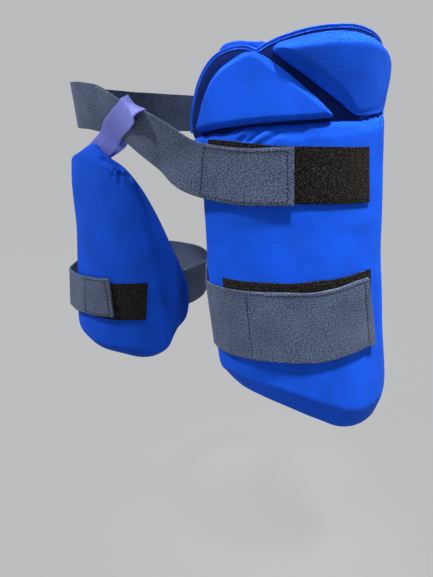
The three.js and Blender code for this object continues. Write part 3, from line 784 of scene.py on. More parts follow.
@dataclass
class Panel:
    """A padded panel on a bent form: a rim, a bevelled edge, an even face and a hollow back.

    Its four corners are, in this order, top left, top right, bottom right and bottom left.
    """

    name: str
    form: BentForm
    outline: Array
    corners: Rows
    back: float
    rim: float
    thickness: float
    cells: tuple[int, int]
    round_off: float = 0.25
    bulge: float = 1.0
    gather: float = 0.55
    fullness: FaceRelief = lambda arc, height: np.ones(len(arc))
    lean: FaceRelief = lambda arc, height: np.zeros(len(arc))
    obj: Optional[bpy.types.Object] = field(default=None)

    def _sides(self) -> list[Array]:
        """Parts the outline at its corners.

        Returns:
            Its bottom, top, left and right side, each from its start to its end.
        """
        line = self.outline[:, :2]
        turn = np.sum(line[:, 0] * np.roll(line[:, 1], -1) - np.roll(line[:, 0], -1) * line[:, 1])
        if turn > 0:
            line = line[::-1]
        marks = [int(np.argmin(np.hypot(*(line - np.array(corner)).T))) for corner in self.corners]
        sides = []
        for start, end in zip(marks, marks[1:] + marks[:1]):
            steps = (end - start) % len(line)
            sides.append(line[(start + np.arange(steps + 1)) % len(line)])
        top, right, bottom, left = sides
        return [bottom[::-1], top, left, right[::-1]]

    def _spread(self, s: Array, t: Array) -> Array:
        """Spreads the grid between the four sides.

        Args:
            s: the grid's shares from left to right.
            t: the grid's shares from bottom to top.

        Returns:
            The places as arcs and heights, one row each.
        """
        bottom, top, left, right = self._sides()

        def on(side: Array, share: Array) -> Array:
            """Places along one side at shares of its length."""
            places = lengths_along(side)
            return read_at(side, places / places[-1], share)

        s1, t1 = s[:, None], t[:, None]
        mixed = (1 - t1) * on(bottom, s) + t1 * on(top, s) + (1 - s1) * on(left, t) + s1 * on(right, t)
        low_ends = (1 - s1) * (1 - t1) * bottom[0] + s1 * (1 - t1) * bottom[-1]
        return mixed - (low_ends + (1 - s1) * t1 * top[0] + s1 * t1 * top[-1])

    def edge_distance(self, arc: Array, height: Array) -> tuple[Array, Array]:
        """The distance to the outline and the bevel's width there."""
        gaps = np.hypot(arc[:, None] - self.outline[None, :, 0], height[:, None] - self.outline[None, :, 1])
        return gaps.min(axis=1), self.outline[gaps.argmin(axis=1), 2]

    def build(self) -> None:
        """Bends the panel's slab into place."""
        slab = Slab(self.name, *(even_shares(count, self.gather) for count in self.cells), 3)
        spread = self._spread(slab.s, slab.t)
        border = (np.minimum(slab.s, slab.t) < 1e-6) | (np.maximum(slab.s, slab.t) > 1 - 1e-6)
        swung = np.where(border, np.sin(np.pi * slab.w) * self.bulge, 0)
        spread = spread + unit(spread - spread.mean(axis=0)) * swung[:, None]
        arc, height = spread.T
        gap, bevel = self.edge_distance(arc, height)
        even = np.concatenate([np.where(border, 0, gap) / bevel, [0.0, 6.0]])
        *fill, foot, full = softened(even, self.round_off)
        fill = np.clip((np.array(fill) - foot) / (full - foot), 0, 1) ** self.fullness(arc, height)
        depth = self.rim + (self.thickness - self.rim + self.lean(arc, height)) * fill
        points = self.form.at_arc(arc, height, self.back + depth * slab.w)
        self.obj = slab.bend(points, spread + np.stack([slab.w * 0, (1 - slab.w) * depth], axis=-1))

    def laid_out(self) -> tuple[Array, Array, Array]:
        """The arc, height and radius of the panel's vertices as they are now."""
        return self.form.laid_out(read_points(self.obj))

    def on_face(self, radius: Array) -> Array:
        """How far each vertex belongs to the outer face, from 0 to 1."""
        return smoothstep(self.back + self.rim * 0.35, self.back + self.rim * 0.95, radius)

    def press(self, relief: FaceRelief) -> None:
        """Moves the outer face along its normals by a relief of arc and height, in millimetres."""
        arc, height, radius = self.laid_out()
        lift = relief(arc, height) * self.on_face(radius)
        normals = read_rows(self.obj.data.vertex_normals, "vector")
        write_points(self.obj, read_points(self.obj) + normals * lift[:, None])


# Straps


def no_sway(along: Array, share: Array) -> Array:
    """Straight edges."""
    return np.zeros(len(along))


@dataclass
class Strap:
    """A flat band along stations, each with its place, its upward and its outward direction."""

    name: str
    at: Array
    up: Array
    out: Array
    width: float
    thickness: float
    obj: Optional[bpy.types.Object] = field(default=None)

    def __post_init__(self) -> None:
        """Measures the band's length."""
        self.places = lengths_along(self.at)
        self.length = float(self.places[-1])

    def point(self, along: Array, across: Array, lift: Array) -> Array:
        """Places on the band.

        Args:
            along: their distances from the start.
            across: their distances from the middle line, upwards.
            lift: their distances from the middle layer, outwards.

        Returns:
            The places, one row each.
        """
        at = read_at(self.at, self.places, along)
        up = unit(read_at(self.up, self.places, along))
        out = unit(read_at(self.out, self.places, along))
        return at + up * np.asarray(across)[..., None] + out * np.asarray(lift)[..., None]

    def build(
        self, step: float, rows: int, relief: BandRelief, sway: FaceRelief = no_sway, slant: float = 0.0
    ) -> None:
        """Bends the strap's slab into place.

        Args:
            step: the length of its faces.
            rows: the faces across its width.
            relief: the extra thickness, of the place along, the place across and the side, 1 for outside.
            sway: the shift of its edges, of the place along and the side share across.
            slant: how much shorter its upper edge is than its lower one at its last end.
        """
        slab = Slab(self.name, even_shares(round(self.length / step)), even_shares(rows, 0.6), 2)
        along = slab.s * self.length
        share = slab.t * 2 - 1
        across = share * self.width / 2 + sway(along, share)
        along = along - slant * slab.t * smoothstep(self.length - 60, self.length, along)
        inset = np.minimum(np.minimum(along, self.length - along), self.width / 2 - np.abs(across))
        inset = np.clip(inset / (self.thickness * 0.6), 0, 1)
        rounding = np.sqrt(1 - (1 - inset) ** 2) * 0.45 + 0.55
        side = slab.w * 2 - 1
        lift = side * (self.thickness / 2 * rounding + relief(along, across, side))
        lay = np.stack([along, across + (side < 0) * self.width], axis=-1)
        self.obj = slab.bend(self.point(along, across, lift), lay)

    def stitch_rows(self, runs: Rows, lift: float) -> list[tuple[Array, Array]]:
        """Stitch rows on the outer face.

        Args:
            runs: each row's two places along and its two places across, at its two ends.
            lift: how far the rows lie from the middle layer.

        Returns:
            Each row's line and outward directions.
        """
        rows = []
        for along0, along1, across0, across1 in runs:
            steps = np.linspace(0, 1, 60)
            places = along0 + (along1 - along0) * steps
            line = self.point(places, across0 + (across1 - across0) * steps, np.full(60, lift))
            rows.append((line, unit(read_at(self.out, self.places, places))))
        return rows


def strap_round(
    name: str, form: BentForm, rows: Rows, level: float, width: float, thickness: float
) -> Strap:
    """A strap round a bent form.

    Args:
        name: the piece's name.
        form: the form that it lies on.
        rows: its angle, its rise as a share of its width and its radius, from row to row.
        level: its height.
        width: its width.
        thickness: its thickness.

    Returns:
        The strap, not yet built.
    """
    angles = np.linspace(rows[0][0], rows[-1][0], 240)
    stations = form.axes_at(angles, level + width * eased(rows, 1, angles), eased(rows, 2, angles))
    return Strap(name, *stations, width, thickness)


def frame_runs(start: float, end: float, half: float, slant: float = 0.0) -> Rows:
    """Four runs round a field of a band; its end leans back by slant at the top."""
    top = end - slant
    return ((start, start, -half, half), (end, top, -half, half), (start, top, half, half), (start, end, -half, -half))


# Sewing


class Needle:
    """Lays rows of single stitches, all copies of one modelled stitch."""

    def __init__(self, length: float = 2.7, thickness: float = 1.0) -> None:
        """Models one stitch as a stretched bead with sunk ends.

        Args:
            length: its length.
            thickness: its thickness.
        """
        deselect_all()
        bpy.ops.mesh.primitive_uv_sphere_add(segments=6, ring_count=5, radius=0.5)
        bead = bpy.context.object
        points = read_points(bead) * MM
        self.faces = [tuple(face.vertices) for face in bead.data.polygons]
        ends = np.abs(points[:, 2]) * 2
        self.along = points[:, 2] * length
        self.across = points[:, 0] * thickness
        self.lift = points[:, 1] * thickness * 0.8 - ends**3 * thickness * 0.35
        bpy.data.objects.remove(bead, do_unlink=True)

    def sew(self, name: str, rows: Sequence[tuple[Array, Array]], pitch: float) -> bpy.types.Object:
        """Sews stitches along rows.

        Args:
            name: the piece's name.
            rows: each row's line in millimetres and the outward direction at each of its points.
            pitch: the distance from one stitch to the next.

        Returns:
            All the stitches as one mesh object.
        """
        points, faces = [], []
        for line, outward in rows:
            places = lengths_along(line)
            centres = np.arange(pitch / 2, places[-1], pitch)
            at = read_at(line, places, centres)
            way = unit(read_at(line, places, np.minimum(centres + 0.5, places[-1])) - at)
            out = unit(read_at(outward, places, centres))
            for a, w, o, d in zip(at, way, out, unit(np.cross(way, out))):
                start = len(points) * len(self.along)
                points.append(
                    a + self.along[:, None] * w + self.across[:, None] * d + self.lift[:, None] * o
                )
                faces.extend(tuple(start + corner for corner in face) for face in self.faces)
        mesh = bpy.data.meshes.new(name)
        mesh.from_pydata((np.concatenate(points) * MM).tolist(), [], faces)
        mesh.update()
        obj = bpy.data.objects.new(name, mesh)
        bpy.context.scene.collection.objects.link(obj)
        shaded(obj, 180)
        return obj


class Sewing:
    """What all sub-assemblies share: the finishes, the needle and the ways in which a piece is finished."""

    def __init__(self) -> None:
        """Makes every finish once, and the needle."""
        self.wardrobe = {finish: finish.value[1].dress() for finish in Finish}
        self.needle = Needle()

    def hand_over(self, obj: bpy.types.Object, finish: Finish, *nodes: str) -> None:
        """Dresses a finished piece and ties it to the frame.

        Args:
            obj: the piece.
            finish: what it is made of.
            nodes: the solids that it stands for.
        """
        obj.data.materials.clear()
        obj.data.materials.append(self.wardrobe[finish])
        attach(obj, "root")
        if nodes:
            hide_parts(*nodes)
        LOG.info("%s: %d faces", obj.name, len(obj.data.polygons))

    def sew(
        self, name: str, thread: Finish, rows: Sequence[tuple[Array, Array]], pitch: float = 3.4
    ) -> None:
        """Sews rows of stitches, each given as its line and its outward directions."""
        self.hand_over(self.needle.sew(name, rows, pitch), thread)

    def stuff(
        self,
        panel: Panel,
        finish: Finish,
        node: str,
        fill: float,
        relief: FaceRelief,
        free: Optional[FaceRelief] = None,
        reach: float = 0.0,
        margin: float = 10.0,
    ) -> None:
        """Makes a padded panel: it swells, is rounded and gets its creases.

        Args:
            panel: the panel.
            finish: its cloth.
            node: the solid that it stands for.
            fill: how full it is of padding; not used.
            relief: its creases and wrinkles.
            free: how free its face is to swell, or None where it is stiff.
            reach: the furthest that it swells.
            margin: the stretch along its edge over which the swelling starts.
        """
        panel.build()
        if free is not None:
            arc, height, radius = panel.laid_out()
            inside = smoothstep(0, margin, panel.edge_distance(arc, height)[0])
            swell(panel.obj, free(arc, height) * panel.on_face(radius) * inside, reach)
        subdivided(panel.obj)
        panel.press(relief)
        shaded(panel.obj)
        self.hand_over(panel.obj, finish, node)

    def fuzzy_patch(self, strap: Strap, node: str) -> None:
        """Builds a loop patch: its pile stands up in clumps and is pressed flat along a stitched border.

        Args:
            strap: the patch's band, not yet built.
            node: the solid that it stands for.
        """
        border = 2.6

        def pile(along: Array, across: Array, side: Array) -> Array:
            """The pile's uneven height, in the terms of a band's relief."""
            edge = np.minimum(np.minimum(along, strap.length - along), strap.width / 2 - np.abs(across))
            fuzz = mottle(along, across, 1.4, 2.0) * 0.28
            clumps = mottle(along, across, 4.5, 7.0) * 0.2
            sunk = -0.35 * hump(edge - border, 0.9)
            return np.where(side > 0, fuzz + clumps + sunk, 0) * smoothstep(-0.1, 0.8, edge)

        strap.build(0.95, 54, pile)
        shaded(strap.obj, 180)
        strap.width * MM
        runs = frame_runs(border, strap.length - border, strap.width / 2 - border)
        self.sew(strap.name + "_stitches", Finish.BLACK_THREAD, strap.stitch_rows(runs, 0.85), pitch=3.6)
        self.hand_over(strap.obj, Finish.LOOP, node)


# Tables of outlines, as shares of the sizes above, and of lines in millimetres

PAD_SIDES = (
    (1.015, 0.03, 0.35), (1.005, 0.145, 0.4), (0.99, 0.345, 0.4), (1.01, 0.517, 0.4),
    (1.05, 0.668, 0.4), (1.145, 0.842, 0.55), (1.14, 0.905, 0.75), (1.08, 0.955, 0.9),
    (0.985, 0.988, 1.0), (0.81, 1, 1.05), (0.546, 1, 1.0), (0.304, 0.983, 1),
    (0.074, 0.945, 0.97), (-0.22, 0.904, 0.92), (-0.517, 0.879, 0.87), (-0.825, 0.86, 0.78),
    (-1.035, 0.833, 0.5), (-1.1, 0.79, 0.4), (-1.105, 0.675, 0.4), (-1.1, 0.558, 0.4),
    (-1.09, 0.414, 0.4), (-1.06, 0.347, 0.4), (-1.01, 0.2, 0.38), (-1.02, 0.06, 0.35),
)
PAD_TOP = (
    (-111, -3), (-105, -1.8), (-87, 1.2), (-70, 3.4), (-55, 5.8), (-48, 7.3), (-33, 8.8),
    (-24, 9.3), (-15, 9.7), (-9, 8.8), (3, 9.2), (10, 10.4), (18, 11), (38, 11.8), (60, 14.0),
    (85, 18.0), (109, 21.5),
)
PAD_CREASES = (
    Crease(((-53, -7), (-50.8, -4), (-45, -0.3), (-41, 1.5)), 1.8, -2.6),
    Crease(((-46, -6.5), (-44.1, -4.5), (-38.5, -1.6), (-31.8, 2.5), (-26, 4.2)), 2.0, -2.8),
    Crease(((-52, -1.5), (-45, 2.5), (-40, 4.5)), 2.2, 1.4),
    Crease(((-38, -5), (-31, -0.5), (-24, 3)), 2.4, 1.3),
    Crease(((-28, -6), (-26.1, -3.8), (-15.7, 1.9), (-9, 3.8)), 2.0, -1.7),
    Crease(((-84, -1), (-90, -7), (-100, -12)), 3.2, -0.8),
    Crease(((10, 9), (2, 2), (-8, -6)), 3.0, -0.5),
    Crease(((30, -72), (52, -78), (80, -76)), 6.0, 0.5),
    Crease(((-60, -92), (-20, -100), (30, -98)), 14.0, 0.5),
)
FRONT_LOBE = (
    (-0.905, -0.09), (-0.9, 0), (-0.861, 0.128), (-0.808, 0.27), (-0.733, 0.436),
    (-0.641, 0.577), (-0.549, 0.67), (-0.449, 0.721), (-0.364, 0.737), (-0.286, 0.721),
    (-0.235, 0.685),
)
REAR_LOBE = (
    (-0.235, 0.685), (-0.175, 0.733), (-0.124, 0.769), (-0.045, 0.809), (0.085, 0.865),
    (0.239, 0.909), (0.412, 0.94), (0.548, 0.95), (0.72, 0.93), (0.87, 0.88),
    (0.975, 0.77), (1.03, 0.6), (1.04, 0.43), (1.0, 0.25), (0.945, 0.13),
)
FRONT_BLOCK = (
    (-0.9, -0.06, 0.42), (-0.63, -0.03, 0.38), (-0.34, 0.013, 0.36), (-0.02, 0.046, 0.34),
    (0.22, 0.066, 0.34), (0.325, 0.09, 0.32), (0.215, 0.242, 0.5), (0.104, 0.361, 0.58),
    (-0.106, 0.572, 0.58), (-0.235, 0.68, 0.45), (-0.323, 0.705, 0.35), (-0.382, 0.69, 0.35),
    (-0.456, 0.65, 0.4), (-0.574, 0.57, 0.4), (-0.689, 0.45, 0.4), (-0.77, 0.31, 0.4),
    (-0.84, 0.13, 0.45),
)
REAR_BLOCK = (
    (0.56, 0.11, 0.45), (0.75, 0.115, 0.55), (0.94, 0.155, 0.7), (1.04, 0.26, 0.6),
    (1.1, 0.52, 0.4), (1.075, 0.71, 0.5), (0.96, 0.825, 0.7), (0.785, 0.885, 0.9),
    (0.558, 0.91, 0.95), (0.356, 0.9, 0.95), (0.18, 0.865, 0.9), (0.015, 0.815, 0.75),
    (-0.105, 0.77, 0.55), (-0.135, 0.715, 0.45), (-0.079, 0.645, 0.5), (0.056, 0.525, 0.7),
    (0.22, 0.38, 0.8), (0.404, 0.232, 0.7),
)
LINING_CREST = (
    (-72, 71.5), (-66.4, 74.4), (-53.6, 76.4), (-46.2, 76.5), (-33.6, 75.4), (-22.8, 75.3), (-14, 77),
)
SEAM_DOTS = ((66, 15.2), (85, 19.0), (104, 23.0))
LOOSE_THREAD = ((-111, 14), (-112.5, 10), (-111, 6), (-113, 2))
WAIST_PATCH_ROWS = ((-38.5, 0.11), (-2, 0.01), (33.5, -0.012))
THIGH_PATCH_ROWS = ((-40, 0.376), (-10, 0.432), (9, 0.504), (34.3, 0.604))
STRAP_SLOPE = ((-60, -5.5), (0, 0.5), (34, 11))
INNER_OUTLINE = (
    (-1.11, 0.05, 0.4), (-0.87, 0.018, 0.4), (-0.61, 0, 0.4), (-0.463, 0.024, 0.4),
    (-0.297, 0.054, 0.4), (-0.076, 0.091, 0.4), (0.17, 0.171, 0.4), (0.385, 0.275, 0.4),
    (0.54, 0.365, 0.42), (0.66, 0.44, 0.5), (0.79, 0.515, 0.75), (0.92, 0.6, 1.0),
    (1.005, 0.67, 1.15), (1.03, 0.73, 1.15), (1.02, 0.79, 1.1), (0.975, 0.825, 0.9),
    (0.86, 0.855, 0.5), (0.79, 0.9, 0.35), (0.7, 0.955, 0.4), (0.53, 0.985, 0.5), (0.356, 0.993, 0.6),
    (-0.003, 0.975, 0.65), (-0.429, 0.958, 0.6), (-0.687, 0.942, 0.6), (-0.954, 0.911, 0.5),
    (-1.06, 0.86, 0.4), (-1.075, 0.76, 0.4), (-1.06, 0.54, 0.4), (-1.08, 0.34, 0.4),
    (-1.13, 0.16, 0.4),
)
INNER_CREASES = (
    Crease(((-38, -21), (-20.5, -28), (-8.8, -32.5), (-3, -38)), 1.9, -3.0),
    Crease(((-30, -29), (-16, -35), (-7, -42)), 2.4, 1.6),
    Crease(((-12, -36), (-5.5, -39.5), (1.5, -42.5), (6, -47.5)), 1.7, -2.4),
    Crease(((-12, -32), (-13, -38), (-16, -46)), 1.6, -1.3),
    Crease(((-4, -40), (-6, -47), (-4, -54)), 2.0, -1.1),
    Crease(((0, -38), (8, -46), (12, -54)), 2.4, 1.2),
    Crease(((64, -140), (71, -160), (72.5, -186), (72.3, -219), (69, -241), (60, -256)), 2.2, -1.5),
    Crease(((-75, -234), (-40, -248), (0, -254), (40, -256), (62, -252)), 2.4, -0.8),
)
INNER_PATCH_ROWS = ((-30, -0.1), (-8.7, -0.09), (17.2, -0.06))
BELT_RUN = (
    (11.5, 0.667, -0.79, 4), (-1.5, 0.616, -0.32, 12), (-21.6, 0.602, 0.18, 20),
    (-35.5, 0.618, 0.5, 22), (-48.7, 0.662, 0.76, 18), (-73.3, 0.865, 0.97, 6),
    (-96.3, 1.0, 1.0, 0), (-121, 0.967, 0.95, 0), (-148.8, 0.853, 0.85, 0),
    (-180, 0.802, 0.7, 0), (-211.2, 0.853, 0.42, 0), (-239, 0.964, 0, 0),
    (-262, 1.004, -0.5, -3), (-273, 1.024, -0.8, -6),
)
BELT_ON_FACE = (-32.7, -33.5, -34.2, -34.6, -34.0)


# Outer guard


@dataclass
class OuterGuard:
    """The tall guard for the left thigh: its lower pad, its seam, its hip flap and its loop patches."""

    sewing: Sewing

    def held_down(self, arc: Array, height: Array) -> Array:
        """How far the belt, the strap and their patches hold the face down.

        Args:
            arc: the places' arcs.
            height: the places' heights.

        Returns:
            From 0 where the face is free to 1.
        """
        angle = OUTER_FORM.degrees(arc)
        belt = smoothstep(37, 27, np.abs(height - BAND.belt_level))
        middle = BAND.outer_level + 4 + eased(STRAP_SLOPE, 1, np.clip(angle, -60, 34))
        strap = smoothstep(51, 40, np.abs(height - middle))
        return np.maximum(belt, strap) * smoothstep(40, 35, angle)

    def pad_relief(self, arc: Array, height: Array) -> Array:
        """The lower pad's wrinkles: diagonal ones under the seam's front half, puckers at its outer end.

        Args:
            arc: the places' arcs.
            height: the places' heights.

        Returns:
            The rise at each place, in millimetres.
        """
        under = OUTER.seam(arc) - height
        puckers = mottle(arc, under * 0.2, 4.5, 3.0) * (0.35 + 1.1 * smoothstep(60, 90, arc))
        rolls = mottle(arc, under * 0.15, 15.0, 8.0) * 0.9
        gathers = (puckers + rolls) * np.exp(-np.maximum(under, 0) / 6.0)
        soft = mottle(arc, height, 42.0, 5.0) * 0.45 * (1 - self.held_down(arc, height))
        proud = 2.4 * hump(under - 4, 4.5) * smoothstep(75, 50, arc)
        return creased(PAD_CREASES, arc, height) + soft + gathers + proud

    def lower_pad(self) -> None:
        """Builds the lower pad."""
        top = scaled([(*row, OUTER.top_bevel) for row in PAD_TOP], (1, 1, OUTER.bevel), 0)
        sides = scaled(PAD_SIDES, (OUTER.half_arc, -OUTER.height, OUTER.bevel), OUTER.seam_level)
        panel = Panel(
            "dressed_thigh_pad",
            OUTER_FORM,
            run_through(np.concatenate([top, sides]), closed=True, steps=14),
            ((-111, -3), (109, 21), (124, -290), (-121, -255)),
            OUTER_BACK,
            OUTER.rim,
            OUTER.thickness,
            (64, 88),
            round_off=0.08,
            bulge=1.4,
            fullness=lambda arc, height: 1 - 0.45 * smoothstep(-14, -4, height - OUTER.seam(arc)),
        )
        free = lambda arc, height: 1 - self.held_down(arc, height)
        self.sewing.stuff(panel, Finish.ROYAL, "thigh_pad", 0.9, self.pad_relief, free, 2.4)

    def seam_band(self) -> None:
        """Builds the gathered cloth between the pad and the flap."""
        arcs = np.linspace(*OUTER.seam_ends, 160) * OUTER.half_arc
        radius = OUTER_BACK + OUTER.rim - 2
        stations = OUTER_FORM.axes_at(OUTER_FORM.degrees(arcs), OUTER.seam(arcs) + 2 * OUTER.seat, radius)
        band = Strap("dressed_seam_band", *stations, OUTER.band_height, OUTER.band_thickness * 0.55)
        band.build(1.6, 8, lambda along, across, side: 0.5 * mottle(along, across * 0.2, 4.5, 2.0))
        shaded(band.obj, 180)
        # The seam band wears painted shade: the near-black copy of the royal knit.
        self.sewing.hand_over(band.obj, Finish.NAVY, "seam_band")

    def seam_stitches(self) -> None:
        """Sews the dotted row under the flap's outer foot, and the thread end at its front foot."""
        rows = []
        for points, steps, depth in ((SEAM_DOTS, 20, 5.0), (LOOSE_THREAD, 12, 8.0)):
            arc, height = run_through(points, steps=steps).T
            at, _, out = OUTER_FORM.axes_at(OUTER_FORM.degrees(arc), height, OUTER_FORM.face_radius - depth)
            rows.append((at, out))
        self.sewing.sew("seam_stitches", Finish.BLUE_THREAD, rows)

    def flap_rim(self) -> Array:
        """The flap's rim.

        Returns:
            Its line from its front foot over both lobes to its outer foot, as arcs and heights.
        """
        spans = (math.radians(OUTER.flap_half_angle) * OUTER_FORM.face_radius, OUTER.flap_rise)
        front, rear = (
            run_through(scaled(rows, spans, OUTER.seam_level), steps=10) for rows in (FRONT_LOBE, REAR_LOBE)
        )
        rim = np.concatenate([front, rear[1:]])
        clear = OUTER.band_height / 2 + OUTER.seat
        rim[:, 1] = np.maximum(rim[:, 1], OUTER.seam(rim[:, 0]) + clear)
        return rim

    def flap_backing(self) -> None:
        """Builds the flap's flange sheet."""
        rim = self.flap_rim()
        feet = np.linspace(rim[-1, 0], rim[0, 0], 60)[1:-1]
        line = np.concatenate([rim, np.stack([feet, OUTER.seam(feet) - 1], axis=-1)])
        panel = Panel(
            "dressed_hip_backing",
            OUTER_FORM,
            np.column_stack([line, np.full(len(line), OUTER.flange_bevel)]),
            ((-88, 47), (105, 76), rim[-1], rim[0]),
            OUTER_FORM.face_radius - OUTER.flange_step - OUTER.flange_thickness,
            OUTER.flange_thickness * 0.8,
            OUTER.flange_thickness,
            (56, 26),
            bulge=0.0,
        )
        uneven = lambda arc, height: 0.15 * mottle(arc, height, 11.0, 4.0)
        # The flange wears painted shade: the near-black copy of the royal knit.
        self.sewing.stuff(panel, Finish.NAVY, "hip_backing", 0.8, uneven)

    def lining(self) -> None:
        """Builds the puffed lining that shows above the flap's front lobe."""
        arc, height = run_through(LINING_CREST).T
        level = height - OUTER.lining_height / 2
        radius = OUTER_FORM.face_radius - OUTER.lining_depth
        stations = OUTER_FORM.axes_at(OUTER_FORM.degrees(arc), level, radius)
        roll = Strap("dressed_hip_lining", *stations, OUTER.lining_height, OUTER.lining_thickness)

        def puffs(along: Array, across: Array, side: Array) -> Array:
            """The lining's soft puffs, with one sunk wrinkle."""
            wrinkle = -1.6 * hump(along - 34 + across * 0.9, 1.6)
            return 0.8 * mottle(along, across * 0.5, 9.0, 5.0) + wrinkle

        def narrowed(along: Array, share: Array) -> Array:
            """The roll's rounded ends."""
            near = np.minimum(along, roll.length - along)
            return -share * roll.width / 2 * (1 - smoothstep(-4, 10, near))

        roll.build(1.6, 14, puffs, narrowed)
        shaded(roll.obj, 180)
        self.sewing.hand_over(roll.obj, Finish.ROYAL)

    def block(self, node: str, rows: Rows, corners: Rows, relief: FaceRelief, lean: FaceRelief) -> None:
        """Builds one foam block on the flap.

        Args:
            node: the solid that it stands for.
            rows: its outline as shares.
            corners: its corners as shares.
            relief: its wrinkles.
            lean: how much thicker its face is from place to place.
        """
        spans = (OUTER.half_arc, OUTER.flap_rise, OUTER.block_bevel)
        panel = Panel(
            "dressed_" + node,
            OUTER_FORM,
            run_through(scaled(rows, spans, OUTER.seam_level), closed=True, steps=16),
            scaled(corners, spans[:2], OUTER.seam_level),
            OUTER_FORM.face_radius - OUTER.flange_step + OUTER.block_lift,
            OUTER.block_rim,
            OUTER.block_height,
            (52, 38),
            round_off=0.12,
            bulge=0.3,
            lean=lean,
        )
        free = lambda arc, height: np.ones(len(arc))
        self.sewing.stuff(panel, Finish.ROYAL, node, 0.9, relief, free, 1.6, margin=8)

    def blocks(self) -> None:
        """Builds both foam blocks."""
        tip = Crease(((18, 14), (24, 17), (33, 21)), 2.0, -0.5)

        def undercut(arc: Array, height: Array) -> Array:
            """The rear block's face leans out at its top, and sinks towards the flap's outer edge."""
            outer = smoothstep(55, 115, arc)
            return (14.0 - 6.0 * outer) * np.clip((height - 18) / 58, 0, 1) - 5.5 - 2.0 * outer

        self.block(
            "hip_block_front",
            FRONT_BLOCK,
            ((-0.5, 0.62), (-0.29, 0.7), (0.325, 0.09), (-0.9, -0.06)),
            lambda arc, height: 0.25 * mottle(arc, height, 24.0, 1.0) + tip.relief(arc, height),
            lambda arc, height: 0.6 - 2.0 * smoothstep(8, 62, height),
        )
        self.block(
            "hip_block_rear",
            REAR_BLOCK,
            ((-0.12, 0.76), (1.0, 0.8), (0.94, 0.195), (0.42, 0.22)),
            lambda arc, height: 0.22 * mottle(arc, height, 26.0, 6.0),
            undercut,
        )

    def binding(self) -> None:
        """Builds the rolled binding on the flap's rim: two rolls with a groove between them."""
        rim = self.flap_rim()
        places = lengths_along(rim)
        even = read_at(rim, places, np.linspace(0, places[-1], 260))
        way = unit(np.gradient(even, axis=0))
        outward = np.stack([-way[:, 1], way[:, 0]], axis=-1)
        radius = OUTER_FORM.face_radius - OUTER.flange_step - OUTER.flange_thickness / 2 - OUTER.seat
        middle = even + outward * (OUTER.binding_width * 0.35 + OUTER.seat)
        at = OUTER_FORM.at_arc(*middle.T, radius)
        up = unit(OUTER_FORM.at_arc(*(middle + outward).T, radius) - at)
        out = unit(OUTER_FORM.at_arc(*middle.T, radius + 1) - at)
        tape = Strap("dressed_hip_binding", at, up, out, OUTER.binding_width * 0.76, OUTER.binding_thickness)

        def rolls(along: Array, across: Array, side: Array) -> Array:
            """The groove between the two rolls, and the tape's slight unevenness."""
            uneven = 0.15 * mottle(along, across, 6.0, 9.0)
            return np.where(side > 0, uneven - 1.9 * hump(across, 0.6), uneven)

        tape.build(1.5, 14, rolls)
        shaded(tape.obj, 180)
        self.sewing.hand_over(tape.obj, Finish.BINDING, "hip_binding")

    def patches(self) -> None:
        """Builds both loop patches."""
        radius = OUTER_FORM.face_radius + BAND.patch_middle
        for name, rows, level in (
            ("waist", WAIST_PATCH_ROWS, BAND.belt_level),
            ("thigh", THIGH_PATCH_ROWS, BAND.outer_level),
        ):
            placed = [(*row, radius) for row in rows]
            patch = strap_round(
                f"dressed_{name}_patch", OUTER_FORM, placed, level, OUTER.patch_width, BAND.patch * 0.9
            )
            self.sewing.fuzzy_patch(patch, f"{name}_loop_patch")

    def build(self) -> None:
        """Builds the whole outer guard."""
        self.lower_pad()
        self.seam_band()
        self.seam_stitches()
        self.flap_backing()
        self.lining()
        self.blocks()
        self.binding()
        self.patches()


# Straps and belt


